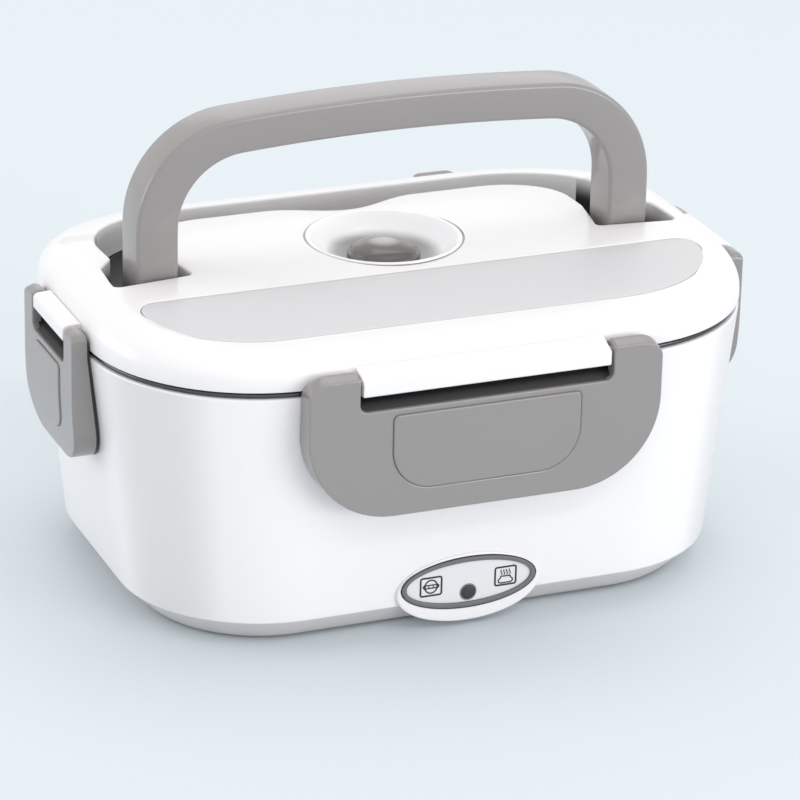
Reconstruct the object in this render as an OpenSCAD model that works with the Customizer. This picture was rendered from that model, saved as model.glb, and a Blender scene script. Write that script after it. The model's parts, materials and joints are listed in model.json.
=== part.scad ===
// Heated lunch box: a tapered body with a steel container, and a lift-off lid held by four latches.
// The front is -Y, the lid is on top, and the origin is under the middle of the feet.

/* [Body] */
// Width of the box at the seam
body_w = 230; // [222:1:250]
// Depth of the box at the seam
body_d = 160.4; // [156:0.4:180]
// Corner radius of the box at the seam
body_r = 57.4; // [54:0.2:60]
// Height of the body's rim above the table
rim_z = 92; // [90:0.5:110]
// How far each end draws in from the rim down to the lower edge of the shell
draft_x = 9.9; // [7:0.1:11]
// How far the front and the back draw in over the same height
draft_y = 5.5; // [4:0.1:7]
// How much smaller the corner radius is at the lower edge of the shell
draft_r = 8.9; // [6:0.1:11]
// Wall of the outer shell
shell_wall = 2.2; // [1.8:0.1:2.6]
// Width of the inner ledge that carries the liner
ledge_w = 2; // [1.5:0.1:2.2]
// Thickness of the liner's flange
liner_flange_t = 2.5; // [2:0.1:3.5]
// Wall of the inner liner
liner_wall = 1.8; // [1.4:0.1:2]
// Height of the liner's floor above the table
liner_floor_z = 32; // [31:0.5:38]
// How much further the liner draws in at its floor
liner_draft = 4.1; // [3:0.1:6]

/* [Base] */
// Height of the grey base band
base_h = 9.9; // [9:0.1:12]
// How far the base band draws in down to the bottom
base_in = 9.9; // [7:0.1:11]
// Wall and floor of the base cover
base_wall = 2.2; // [1.8:0.1:2.6]
// Gap between the table and the base cover
foot_proud = 0.8; // [0.6:0.1:2]
// Radius of a rubber foot
foot_r = 6; // [4:0.5:7]
// Depth that a foot sits in the base cover
foot_sunk = 1; // [0.6:0.1:1.2]
// Distance of the feet from the middle, along the width
foot_x = 78; // [60:1:79]
// Distance of the feet from the middle, along the depth
foot_y = 30; // [20:1:34]
// Distance of the base screws from the middle, along the width
screw_x = 60; // [54:1:64]
// Distance of the base screws from the middle, along the depth
screw_y = 49; // [46:1:50]
// Radius of a screw's shank
screw_r = 1.5; // [1.2:0.1:1.8]
// Radius of a screw's head
screw_head_r = 3; // [2.6:0.1:3.4]
// Length of a base screw's shank
screw_l = 12; // [9:0.5:18]

/* [Container] */
// Thickness of the steel sheet
sheet_t = 0.6; // [0.5:0.1:1]
// Height of the rolled rim that shows in the seam
bead_h = 1.7; // [1.2:0.1:1.8]
// Width of the rolled rim
bead_w = 1.3; // [1:0.1:1.6]
// How far the rolled rim stays inside the body's outline
bead_in = 0.7; // [0.4:0.1:1]
// How much further the container draws in at its bottom
container_draft = 5.4; // [5:0.1:8]
// Radius of the bend between the container's side and bottom
container_bend = 5; // [3:0.5:8]
// Gap between the container and the liner at the rim
container_gap = 0.4; // [0.3:0.1:0.6]

/* [Heater] */
// Radius of the heater plate
plate_r = 50; // [46:1:52]
// Thickness of the heater plate
plate_t = 1.5; // [1:0.1:2.5]
// Radius of the opening under the heater plate
plate_hole_r = 42; // [40:1:43]
// Size of the heating element along the width
element_w = 56; // [40:1:60]
// Size of the heating element along the depth
element_d = 30; // [24:1:34]
// Thickness of the heating element
element_t = 5; // [4:0.5:6]
// Thickness of the clamp's strip
clamp_t = 1; // [0.8:0.1:1.5]
// Radius of the thermostat's case
thermostat_r = 7.9; // [6:0.1:8]
// Height of the thermostat's case
thermostat_h = 8; // [6:0.5:9]
// Radius of the thermal fuse
fuse_r = 2.2; // [1.5:0.1:2.4]
// Height of the heat shield above the table
shield_z = 14; // [12:0.5:16]

/* [Lid] */
// Gap between the body's rim and the lid's lower edge
seam_gap = 2.3; // [2.1:0.1:3]
// Height of the lid's middle above its lower edge
lid_h = 15.7; // [15:0.1:18]
// Straight height of the lid's skirt
skirt_h = 2.7; // [2:0.1:3.5]
// Width of the lid's rounded edge
edge_r = 13; // [10:0.5:14]
// Radius of the lid's crown from front to back
crown_r = 446; // [400:2:700]
// Wall of the lid's shell
lid_wall = 2; // [1.6:0.1:2.2]
// Width of the flange that carries the seal
seal_flange_w = 5.4; // [5:0.1:6]
// Gap between the lid's plug and the container's wall
plug_gap = 0.6; // [0.4:0.1:0.8]
// Wall of the lid's liner
plug_wall = 1.8; // [1.4:0.1:2]
// Width of the seal
seal_w = 4.4; // [4:0.1:4.6]
// Gap between the closed lid's seal and the container's flange
seal_gap = 0.3; // [0.3:0.1:0.5]

/* [Latches] */
// Half the width of the front and rear latches
long_latch_hw = 62; // [57:0.5:64]
// Half the width of the notch in the front and rear latches
long_notch_hw = 44.5; // [40:0.5:46]
// Half the width of the side latches
short_latch_hw = 26; // [23.5:0.5:28]
// Half the width of the notch in the side latches
short_notch_hw = 17; // [14:0.5:18]
// Radius of the ears on the front and rear latches
long_ear_r = 3.8; // [3.2:0.1:4.2]
// Radius of the ears on the side latches
short_ear_r = 3; // [2.8:0.1:3.6]
// Lower corner radius of the front and rear latches
long_low_r = 30; // [20:1:32]
// Lower corner radius of the side latches
short_low_r = 15; // [10:1:16]
// Height of the front and rear latches' lower edge above the table
long_low_z = 49.7; // [44:0.1:54]
// Height of the side latches' lower edge above the table
short_low_z = 52.4; // [46:0.1:56]
// How far the side latches' faces bend in toward their lower edge
short_bend = 2.3; // [0.5:0.1:2.6]
// Height of the notch's lower edge below the body's rim
notch_drop = 4.6; // [4:0.1:6]
// Height of the ears' tops above the lid's lower edge
ear_rise = 6.2; // [5:0.1:7]
// Thickness of a latch's plate
latch_plate_t = 2.2; // [1.8:0.1:2.4]
// Width of the rim round a latch
latch_rim = 2.4; // [2:0.1:3]
// Gap between a latch and the body
latch_gap = 0.4; // [0.4:0.1:0.8]
// Radius of the latch pins
latch_pin_r = 1.3; // [1:0.1:1.5]
// How far the catch ribs stand out of the body's rim line
catch_out = 1.6; // [1.2:0.1:1.8]

/* [Handle] */
// Distance from the body's side to the handle
handle_side = 22.4; // [22:0.2:27]
// Width of the handle's legs
leg_w = 14.6; // [12:0.2:15]
// Thickness of the handle from front to back
handle_t = 16.5; // [14:0.5:16.5]
// Distance from the body's back to the folded handle
handle_back = 17.05; // [17:0.05:24]
// Height of the handle's top bar
bar_h = 12.5; // [10:0.5:13]
// Outer corner radius of the handle
handle_r = 37; // [32:1:38]
// How much the top bar arches between its corners
handle_arch = 2; // [1:0.1:3]
// Place of the handle's pivot, behind the middle
handle_y = 0.75; // [0:0.25:1.5]
// Radius of the handle's pivot pins
handle_pin_r = 3; // [2:0.1:3.4]
// Gap between the folded handle and the sides of its channel
stow_gap = 0.9; // [0.6:0.1:1.2]
// Gap between the folded handle and the channel's floor
floor_gap = 0.4; // [0.3:0.1:0.6]
// Width of the pockets beside the handle's pivots
pocket_w = 7.8; // [5:0.2:8]
// Half the width of the finger scoop behind the platform
scoop_hw = 28; // [20:1:32]
// Depth of the finger scoop
scoop_d = 10; // [6:0.5:12]

/* [Cutlery compartment] */
// Distance from the body's side to the cutlery cover
window_side = 15; // [14:0.5:20]
// Width of the strip between the cutlery cover and the steam vent
window_strip = 3.6; // [2.8:0.1:4.6]
// Distance from the body's front to the cutlery cover
window_edge = 17.2; // [16:0.1:20]
// Rear corner radius of the cover
window_rear_r = 8; // [6:0.5:9]
// Width of the cover's rounded front corners
window_corner_w = 40; // [34:1:44]
// Thickness of the cover
window_t = 1.6; // [1.4:0.1:1.8]
// Gap round the cover
window_gap = 0.3; // [0.2:0.1:0.4]
// Radius of the barrel along the cover's rear edge
barrel_r = 1.3; // [1.2:0.05:1.5]
// Radius of the cover's hinge pins
cover_pin_r = 0.6; // [0.5:0.05:0.7]
// Wall of the cutlery tray
tray_wall = 1.6; // [1.2:0.1:1.8]

/* [Steam vent] */
// Place of the vent behind the middle
vent_y = 5; // [4:0.5:6]
// Radius of the vent's ring
vent_r = 27.4; // [24:0.2:27.6]
// Width of the vent's ring
vent_ring_w = 2.2; // [1.6:0.1:3]
// Depth of the vent's bowl
vent_depth = 7; // [6:0.5:8]
// Radius of the vent's plug
plug_r = 12.5; // [10:0.5:13]
// Height of the plug's dome
plug_h = 4.5; // [3:0.5:6]
// Radius of the steam channel
steam_r = 5; // [3.5:0.5:6]

/* [Indicator] */
// Half the width of the indicator's ring
dial_a = 24.3; // [20:0.1:26]
// Half the height of the indicator's ring
dial_b = 9.3; // [8.8:0.1:9.6]
// Height of the indicator's middle above the table
dial_z = 16.3; // [15.6:0.1:17]
// Width of the dark ring
ring_w = 2; // [1.4:0.1:2.4]
// Width of the white apron beside the ring
apron_w = 1.8; // [1.6:0.1:2.6]
// How much taller than the ring the apron is above and below its own middle
apron_h = 3; // [2.6:0.1:3.4]
// How far the apron's middle sits below the ring's
apron_drop = 1.9; // [1.4:0.1:2]
// How far the apron stands out of the shell
apron_out = 1.3; // [1.1:0.1:1.6]
// Radius of the lamp's lens
lamp_r = 3; // [2:0.1:3.2]
// How far the lamp sits below the indicator's middle
lamp_drop = 3.9; // [3:0.1:4]

/* [Power inlet] */
// Distance between the inlet's two pins
pin_pitch = 8.6; // [7:0.1:9]
// Radius of the inlet's pins
pin_r = 1.18; // [1:0.02:1.5]
// Free length of the inlet's pins
pin_l = 10; // [8:0.5:12]
// How much thicker the pins are inside the inlet's case
pin_shoulder = 0.4; // [0.2:0.1:0.6]
// Height of the inlet's middle above the table
inlet_z = 21; // [20:0.5:22]
// Width of the inlet's case
inlet_w = 25.6; // [24:0.2:30]
// Height of the inlet's case
inlet_h = 15.6; // [15:0.2:16]

/* [Hidden] */
// Steps in a quarter of a corner
corner_steps = 7;
$fn = 64;
// Small overlap that makes a cut break through a face
cut = 1;
// Clearance of a pin that turns in its bore, and of parts that slide into each other
run_gap = 0.05;
fit_gap = 0.2;
white = [0.94, 0.94, 0.95];
grey = [0.6, 0.59, 0.59];
steel = [0.75, 0.76, 0.78];
clear = [0.88, 0.89, 0.9, 0.6];
dark = [0.25, 0.25, 0.27];

// Heights and insets that several pieces share
flange_low_z = rim_z - liner_flange_t;
liner_low_z = liner_floor_z - liner_wall;
wall_in = shell_wall + ledge_w + fit_gap;
liner_in = wall_in + liner_wall;
sheet_in = liner_in + container_gap;
plug_in = sheet_in + sheet_t + plug_gap;
container_z = liner_floor_z + plate_t;
skirt_z = rim_z + seam_gap;
lid_z = skirt_z + lid_h;
handle_hw = body_w / 2 - handle_side;
window_hw = body_w / 2 - window_side;
window_front = body_d / 2 - window_edge;
window_rear = vent_r - vent_y + window_strip;
shoulder_z = skirt_z + skirt_h;
cover_low_z = foot_proud + base_wall;
seat_step = 0.6;
seat_t = 2.4;
screw_seat_z = cover_low_z + seat_step;
boss_z = screw_seat_z + seat_t;

function mix(a, b, t) = a + (b - a) * t;
function arc(cx, cy, rx, ry, a0, a1, n) =
    [for (i = [0:n]) [cx + rx * cos(mix(a0, a1, i / n)), cy + ry * sin(mix(a0, a1, i / n))]];
function rounded(hw, hd, r) = concat(
    arc(hw - r, hd - r, r, r, 0, 90, corner_steps),
    arc(r - hw, hd - r, r, r, 90, 180, corner_steps),
    arc(r - hw, r - hd, r, r, 180, 270, corner_steps),
    arc(hw - r, r - hd, r, r, 270, 360, corner_steps));
function ellipse(a, b) = [for (i = [0:47]) [a * cos(i * 7.5), b * sin(i * 7.5)]];
function lift(points, z) = [for (p = points) [p[0], p[1], z]];

// The body's outline at a height, drawn in by an inset
function level(z) = (rim_z - z) / (rim_z - base_h);
function body_ring(z, inset) = lift(rounded(
    body_w / 2 - draft_x * level(z) - inset,
    body_d / 2 - draft_y * level(z) - inset,
    body_r - draft_r * level(z) - inset), z);
function base_ring(z, inset) = lift(body_ring(
    base_h, inset + base_in * (base_h - z) / (base_h - foot_proud)), z);

// A closed skin over a stack of rings, with a flat top or a tip
module loft(rings, tip = undef) {
    n = len(rings[0]);
    m = len(rings);
    points = concat([for (r = rings) each r], is_undef(tip) ? [] : [tip]);
    sides = [for (j = [0:m - 2], i = [0:n - 1])
        let (a = j * n + i, b = j * n + (i + 1) % n) each [[a, b + n, b], [a, a + n, b + n]]];
    bottom = [[for (i = [0:n - 1]) i]];
    top = is_undef(tip)
        ? [[for (i = [0:n - 1]) m * n - 1 - i]]
        : [for (i = [0:n - 1]) [(m - 1) * n + i, m * n, (m - 1) * n + (i + 1) % n]];
    polyhedron(points, concat(sides, bottom, top));
}

// A prism along Z, between two heights
module prism(points, z0, z1) {
    translate([0, 0, z0]) linear_extrude(z1 - z0) polygon(points);
}

// An X-Z outline pushed along Y, between two places
module slab(points, y0, y1) {
    translate([0, y1, 0]) rotate([90, 0, 0]) linear_extrude(y1 - y0) polygon(points);
}

// A Y-Z outline pushed along X, between two places
module bar(points, x0, x1) {
    translate([x0, 0, 0]) rotate([90, 0, 90]) linear_extrude(x1 - x0) polygon(points);
}

// Round rods along X and Y, and a block between two corners
module rod_x(x0, x1, y, z, r) {
    translate([x0, y, z]) rotate([0, 90, 0]) cylinder(r = r, h = x1 - x0);
}

module rod_y(y0, y1, x, z, r) {
    translate([x, y0, z]) rotate([-90, 0, 0]) cylinder(r = r, h = y1 - y0);
}

module block(low, high) {
    translate(low) cube(high - low);
}

// Copies at four places mirrored about both middles
module four(x, y) {
    for (i = [-1, 1], j = [-1, 1]) translate([i * x, j * y, 0]) children();
}

// A round tube along a route
function unit(v) = v / norm(v);
function tube_ring(route, i, r) =
    let (ahead = route[min(i + 1, len(route) - 1)], behind = route[max(i - 1, 0)])
    let (t = unit(ahead - behind), u = unit(cross(t, abs(t[2]) > 0.9 ? [1, 0, 0] : [0, 0, 1])))
    let (v = cross(t, u))
    [for (k = [0:7]) route[i] + r * (cos(k * 45) * u + sin(k * 45) * v)];

module tube(route, r) {
    loft([for (i = [0:len(route) - 1]) tube_ring(route, i, r)]);
}

// Body: the catch ribs, the apron round the indicator and the pad of the power inlet
latch_reach = [body_d / 2, body_w / 2, body_d / 2, body_w / 2];
catch_hw = [28, 9.5, 28, 9.5];
catch_drop = 5;
catch_h = 2.5;
catch_top_z = rim_z - catch_drop;
catch_low_z = catch_top_z - catch_h;
apron_y = -(body_d / 2 - draft_y * level(dial_z)) - apron_out;
apron_back_y = apron_y + shell_wall;
apron_depth = 10;
bezel_edge = 1;
bezel_t = 1.4;
pad_out = 1;
pad_border = 2.4;
pad_y = body_d / 2 - draft_y * level(inlet_z) + pad_out;
pad_back_y = pad_y - 2 * shell_wall;

module side_places() {
    for (side = [0:3]) rotate(90 * side) translate([0, -latch_reach[side], 0]) children(side);
}

module catch_rib(side) {
    block([-catch_hw[side], -catch_out, catch_low_z], [catch_hw[side], shell_wall * 0.7, catch_top_z]);
}

module apron(grow, y0, y1) {
    translate([0, 0, dial_z - apron_drop])
        slab(ellipse(dial_a + apron_w + grow, dial_b + apron_h + grow), y0, y1);
}

module inlet_frame(grow, y0, y1) {
    block([-inlet_w / 2 - grow, y0, inlet_z - inlet_h / 2 - grow],
          [inlet_w / 2 + grow, y1, inlet_z + inlet_h / 2 + grow]);
}

module outer_shell() {
    color(white) difference() {
        union() {
            loft([body_ring(base_h, 0), body_ring(rim_z, 0)]);
            apron(0, apron_y, apron_y + apron_depth);
            inlet_frame(pad_border, pad_back_y, pad_y);
            side_places() {
                catch_rib(0);
                catch_rib(1);
                catch_rib(2);
                catch_rib(3);
            }
        }
        difference() {
            loft([body_ring(base_h - cut, shell_wall), body_ring(flange_low_z - ledge_w, shell_wall),
                  body_ring(flange_low_z - ledge_w + cut / 10, shell_wall)]);
            apron(0, apron_y, apron_y + apron_depth);
            inlet_frame(pad_border, pad_back_y, pad_y);
        }
        loft([body_ring(flange_low_z - ledge_w - cut, shell_wall + ledge_w),
              body_ring(rim_z + cut, shell_wall + ledge_w)]);
        loft([body_ring(flange_low_z, shell_wall), body_ring(rim_z + cut, shell_wall)]);
        translate([0, 0, dial_z])
            slab(ellipse(dial_a + bezel_edge + fit_gap, dial_b + bezel_edge + fit_gap),
                 apron_back_y, apron_y + apron_depth + cut);
        translate([0, 0, dial_z]) slab(ellipse(dial_a, dial_b), apron_y - cut, apron_back_y + cut);
        inlet_frame(fit_gap, pad_back_y - cut, pad_y + cut);
    }
}

boss_r = screw_head_r + 1.2;

module inner_liner() {
    floor_in = wall_in + liner_draft;
    color(white) difference() {
        union() {
            loft([body_ring(flange_low_z, shell_wall + fit_gap), body_ring(rim_z, shell_wall + fit_gap)]);
            loft([body_ring(liner_low_z, floor_in), body_ring(rim_z, wall_in)]);
            four(screw_x, screw_y) translate([0, 0, boss_z])
                cylinder(r = boss_r, h = liner_low_z - boss_z + liner_wall / 2);
        }
        loft([body_ring(liner_floor_z, floor_in + liner_wall),
              body_ring(rim_z + cut, liner_in - liner_draft * cut / (rim_z - liner_low_z))]);
        translate([0, 0, liner_low_z - cut]) cylinder(r = plate_hole_r, h = liner_wall + 2 * cut);
        four(screw_x, screw_y) translate([0, 0, boss_z - cut]) cylinder(r = screw_r, h = screw_l);
        for (i = [-1, 1]) translate([i * clamp_x, 0, liner_low_z - cut])
            cylinder(r = clamp_screw_r, h = cut + liner_wall * 0.7);
    }
}

// Base cover, feet and screws
post_x = plate_hole_r - 2;
post_y = element_d / 2 + 7;
post_r = 2.5;
lip_h = 3;
lip_in = 1;
base_step = 0.5;
collar = 1;

module base_cover() {
    lip_z = base_h + lip_h;
    color([0.82, 0.82, 0.83]) difference() {
        union() {
            loft([base_ring(foot_proud, 0), base_ring(base_h, base_step)]);
            loft([body_ring(base_h - base_wall, shell_wall + fit_gap + lip_in),
                  body_ring(lip_z, shell_wall + fit_gap)]);
        }
        difference() {
            loft([base_ring(cover_low_z, base_wall), base_ring(base_h, base_wall + 2 * lip_in),
                  body_ring(lip_z + cut, shell_wall + fit_gap + base_wall)]);
            four(screw_x, screw_y) cylinder(r = boss_r + collar, h = boss_z);
            four(post_x, post_y) cylinder(r = post_r, h = shield_z);
        }
        apron(fit_gap, apron_y - cut, apron_y + apron_depth + fit_gap);
        inlet_frame(pad_border + 2 * fit_gap, pad_back_y - base_wall, pad_y + cut);
        four(screw_x, screw_y) cylinder(r = screw_head_r + fit_gap, h = screw_seat_z);
        four(screw_x, screw_y) cylinder(r = screw_r + fit_gap, h = boss_z + cut);
        four(foot_x, foot_y) cylinder(r = foot_r + run_gap, h = foot_proud + foot_sunk);
    }
}

module rubber_feet() {
    color(dark) four(foot_x, foot_y) cylinder(r = foot_r, h = foot_proud + foot_sunk);
}

module base_screws() {
    head_h = 1.8;
    slot_hw = 1.8;
    slot_t = 0.4;
    color(steel) four(screw_x, screw_y) translate([0, 0, screw_seat_z]) difference() {
        union() {
            translate([0, 0, -head_h]) cylinder(r = screw_head_r, h = head_h);
            cylinder(r = screw_r, h = screw_l);
        }
        for (a = [0, 90]) rotate(a) block([-slot_hw, -slot_t, -head_h - cut], [slot_hw, slot_t, -head_h / 2]);
    }
}

// Heater and its guards, all under the liner's floor
clamp_hw = 5;
clamp_foot = 3;
clamp_end = 4;
clamp_gap = 4;
clamp_head_r = 2.4;
clamp_head_h = 1.6;
sensor_gap = 4;
tab_x = 4;
tab_t = 0.4;
tab_l = 4;
fuse_hl = 8;
shield_x = 12;
shield_y = 15;
shield_t = 0.8;
element_low_z = liner_floor_z - element_t;
clamp_x = plate_hole_r + clamp_gap;
clamp_low_z = element_low_z - clamp_t;
clamp_screw_r = 1.25;
sensor_y = element_d / 2 + thermostat_r + sensor_gap;

module heater_plate() {
    color(steel) translate([0, 0, liner_floor_z]) cylinder(r = plate_r, h = plate_t);
}

module ptc_heater() {
    color([0.55, 0.56, 0.58])
        block([-element_w / 2, -element_d / 2, element_low_z], [element_w / 2, element_d / 2, liner_floor_z]);
}

module heater_clamp() {
    color(steel) difference() {
        union() {
            block([-clamp_x - clamp_end, -clamp_hw, clamp_low_z],
                  [clamp_x + clamp_end, clamp_hw, element_low_z]);
            for (i = [-1, 1]) translate([i * clamp_x, 0, 0])
                block([-clamp_foot, -clamp_hw, clamp_low_z], [clamp_foot, clamp_hw, liner_low_z]);
        }
        for (i = [-1, 1]) translate([i * clamp_x, 0, clamp_low_z - cut])
            cylinder(r = clamp_screw_r + fit_gap, h = liner_low_z);
    }
}

module clamp_screws() {
    color(steel) for (i = [-1, 1]) translate([i * clamp_x, 0, clamp_low_z]) {
        translate([0, 0, -clamp_head_h]) cylinder(r = clamp_head_r, h = clamp_head_h);
        cylinder(r = clamp_screw_r, h = liner_low_z - clamp_low_z + liner_wall * 0.6);
    }
}

module thermostat() {
    color(steel) translate([0, sensor_y, liner_floor_z - thermostat_h]) {
        cylinder(r = thermostat_r, h = thermostat_h);
        for (i = [-1, 1]) translate([i * tab_x, 0, 0])
            block([-tab_t, -tab_l * 0.75, -tab_l], [tab_t, tab_l * 0.75, cut]);
    }
}

module thermal_fuse() {
    color([0.8, 0.75, 0.5]) rod_x(-fuse_hl, fuse_hl, -sensor_y, liner_floor_z - fuse_r, fuse_r);
}

module heat_shield() {
    hw = plate_hole_r + shield_x;
    hd = element_d / 2 + shield_y;
    color([0.8, 0.81, 0.82]) block([-hw, -hd, shield_z], [hw, hd, shield_z + shield_t]);
}

// Power inlet in the back wall
pin_sunk = 2;
case_floor = 6;
terminal_l = 4;
case_border = 2.2;
case_wall = 2.8;
pad_step = 0.4;
socket_y = pad_y - pin_sunk - pin_l;
case_back_y = socket_y - case_floor;
terminal_y = case_back_y - terminal_l;

module power_inlet() {
    cavity_r = inlet_h / 2 - case_wall;
    color(dark) difference() {
        union() {
            inlet_frame(0, case_back_y, pad_y - pad_step);
            inlet_frame(case_border, pad_back_y - case_border, pad_back_y);
        }
        for (i = [-1, 1]) rod_y(socket_y, pad_y + cut, i * pin_pitch / 2, inlet_z, cavity_r);
        block([-pin_pitch / 2, socket_y, inlet_z - cavity_r],
              [pin_pitch / 2, pad_y + cut, inlet_z + cavity_r]);
        for (i = [-1, 1])
            rod_y(case_back_y - cut, socket_y + cut, i * pin_pitch / 2, inlet_z, pin_r + pin_shoulder);
    }
}

module inlet_pins() {
    color(steel) for (i = [-1, 1]) {
        rod_y(terminal_y, socket_y, i * pin_pitch / 2, inlet_z, pin_r + pin_shoulder);
        rod_y(socket_y - cut, socket_y + pin_l, i * pin_pitch / 2, inlet_z, pin_r);
    }
}

// Indicator in the front wall
face_a = dial_a - ring_w;
face_b = dial_b - ring_w;
lip_step = 0.4;
face_t = 1.4;
board_gap = 3.4;
lip_y = apron_back_y - lip_step;
face_y = lip_y - face_t;
board_y = apron_back_y + board_gap;
lamp_z = dial_z - lamp_drop;
stud_r = 1.6;
stud_in = 8;
face_seat = 2;
face_end = 9;
bezel_out = 0.5;
board_hw = 18;
board_low = 7;
board_high = 5;
board_t = 1.6;

module at_dial() {
    translate([0, 0, dial_z]) children();
}

module panel_bezel() {
    color(dark) difference() {
        union() {
            at_dial() slab(ellipse(dial_a - fit_gap, dial_b - fit_gap), apron_y - bezel_out, apron_back_y);
            at_dial() slab(ellipse(dial_a + bezel_edge, dial_b + bezel_edge), apron_back_y,
                           apron_back_y + bezel_t);
            for (i = [-1, 1]) rod_y(apron_back_y + cut / 2, board_y, i * (dial_a - stud_in), dial_z, stud_r);
        }
        at_dial() slab(ellipse(face_a + run_gap, face_b + run_gap), apron_y - cut, lip_y);
        at_dial() slab(ellipse(face_a - face_end, face_b - face_seat), lip_y - cut, board_y - fit_gap);
        rod_y(apron_y - cut, board_y + cut, 0, lamp_z, lamp_r + fit_gap);
    }
}

module panel_face() {
    color([0.86, 0.86, 0.87]) difference() {
        at_dial() slab(ellipse(face_a, face_b), face_y, lip_y);
        rod_y(face_y - cut, lip_y + cut, 0, lamp_z, lamp_r + run_gap);
    }
}

// Two plain signs: a pot with a lid band, and a bowl with steam
icon_x = 13.4;
icon_w = 8;
icon_h = 7;
icon_line = 0.6;
icon_t = 0.2;
pot_a = 2.5;
pot_b = 2.6;
steam_pitch = 1.3;
steam_z = 0.6;
lens_out = 0.3;
lens_dome = 0.6;

module line_ring(a, b) {
    difference() {
        slab(ellipse(a, b), 0, icon_t);
        slab(ellipse(a - icon_line, b - icon_line), -cut, icon_t + cut);
    }
}

module panel_icons() {
    color(dark) translate([0, face_y - icon_t, dial_z]) for (i = [-1, 1]) translate([i * icon_x, 0, 0]) {
        difference() {
            block([-icon_w / 2, 0, -icon_h / 2], [icon_w / 2, icon_t, icon_h / 2]);
            block([icon_line - icon_w / 2, -cut, icon_line - icon_h / 2],
                  [icon_w / 2 - icon_line, cut, icon_h / 2 - icon_line]);
        }
        if (i < 0) {
            line_ring(pot_a, pot_b);
            block([icon_line / 2 - pot_a, 0, -icon_line / 2], [pot_a - icon_line / 2, icon_t, icon_line / 2]);
        }
        if (i > 0) {
            intersection() {
                line_ring(pot_b, pot_a);
                block([-pot_a - cut, -cut, -pot_a - cut], [pot_a + cut, cut, 0]);
            }
            block([icon_line / 2 - pot_b, 0, -icon_line], [pot_b - icon_line / 2, icon_t, 0]);
            for (k = [-1:1]) translate([k * steam_pitch, 0, steam_z])
                block([-icon_line / 2, 0, 0], [icon_line / 2, icon_t, icon_h / 2 - icon_line - 2 * steam_z]);
        }
    }
}

module led_lens() {
    color([0.2, 0.2, 0.22]) {
        rod_y(face_y - lens_out, board_y, 0, lamp_z, lamp_r);
        translate([0, face_y - lens_out, lamp_z]) rotate([90, 0, 0])
            cylinder(r1 = lamp_r, r2 = lamp_r * 0.6, h = lens_dome);
    }
}

module led_board() {
    color([0.1, 0.4, 0.2])
        block([-board_hw, board_y, dial_z - board_low], [board_hw, board_y + board_t, dial_z + board_high]);
}

// Wires between the inlet, the thermostat, the element, the fuse and the lamp
wire_r = 0.8;
wire_bend = 4;
lead_in = 14;

module wiring() {
    s = wire_bend;
    wire_z = element_low_z - s;
    tab_z = liner_floor_z - thermostat_h - tab_l / 2;
    fuse_z = liner_floor_z - fuse_r;
    pin_x = pin_pitch / 2;
    lead_x = element_w / 2 - lead_in;
    color([0.75, 0.15, 0.12]) {
        tube([[-pin_x, terminal_y, inlet_z], [-pin_x, terminal_y - 0.75 * s, inlet_z],
              [-1.75 * s, terminal_y - 2 * s, tab_z], [-2.5 * s, sensor_y + s, tab_z],
              [-2 * s, sensor_y, tab_z], [-tab_x - tab_t, sensor_y, tab_z]], wire_r);
        tube([[tab_x + tab_t, sensor_y, tab_z], [2 * s, sensor_y, tab_z], [3 * s, sensor_y - s, wire_z],
              [lead_x, 3 * s, wire_z], [lead_x, 2 * s, wire_z + s / 4], [lead_x, 2 * s, element_low_z]],
             wire_r);
        tube([[lead_x, -2 * s, element_low_z], [lead_x, -2 * s, wire_z + s / 4], [lead_x, -3 * s, wire_z],
              [fuse_hl + 2 * s, s / 2 - sensor_y, wire_z + s / 2], [fuse_hl + s, -sensor_y, fuse_z],
              [fuse_hl, -sensor_y, fuse_z]], wire_r);
        tube([[-fuse_hl, -sensor_y, fuse_z], [-fuse_hl - s, -sensor_y, fuse_z], [-7.5 * s, -5 * s, wire_z],
              [-8.5 * s, 0, wire_z], [-7.5 * s, 7.5 * s, wire_z - 0.75 * s],
              [-3 * s, terminal_y - 1.5 * s, inlet_z - s], [s / 4, terminal_y - 1.5 * s, inlet_z - 0.75 * s],
              [pin_x, terminal_y - 0.75 * s, inlet_z], [pin_x, terminal_y, inlet_z]], wire_r);
        tube([[-1.5 * s, board_y + board_t, dial_z], [-1.5 * s, board_y + board_t + 0.85 * s, dial_z],
              [-lead_x, -12.5 * s, wire_z - 1.25 * s], [-lead_x, -5 * s, wire_z - s],
              [-lead_x, -2 * s, wire_z - s / 4], [-lead_x, -2 * s, element_low_z]], wire_r);
    }
}

// Steel container: one skin that runs up the outside, over the rolled rim and down the inside
module steel_container() {
    bottom_in = sheet_in + container_draft;
    bend_z = container_z + container_bend;
    bend_in = mix(sheet_in, bottom_in, (rim_z - bend_z) / (rim_z - container_z));
    low_rise = container_bend / 4;
    color(steel) loft([
        body_ring(container_z, bottom_in + container_bend * 0.8),
        body_ring(container_z + low_rise, bottom_in + container_bend * 0.2),
        body_ring(bend_z, bend_in),
        body_ring(rim_z, sheet_in),
        body_ring(rim_z, bead_in),
        body_ring(rim_z + bead_h, bead_in),
        body_ring(rim_z + bead_h, bead_in + bead_w),
        body_ring(rim_z + sheet_t, bead_in + bead_w),
        body_ring(rim_z + sheet_t, sheet_in + sheet_t),
        body_ring(bend_z + sheet_t * 0.5, bend_in + sheet_t),
        body_ring(container_z + low_rise + sheet_t * 0.7, bottom_in + container_bend * 0.2 + sheet_t),
        body_ring(container_z + sheet_t, bottom_in + container_bend * 0.8 + sheet_t)]);
}

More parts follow.
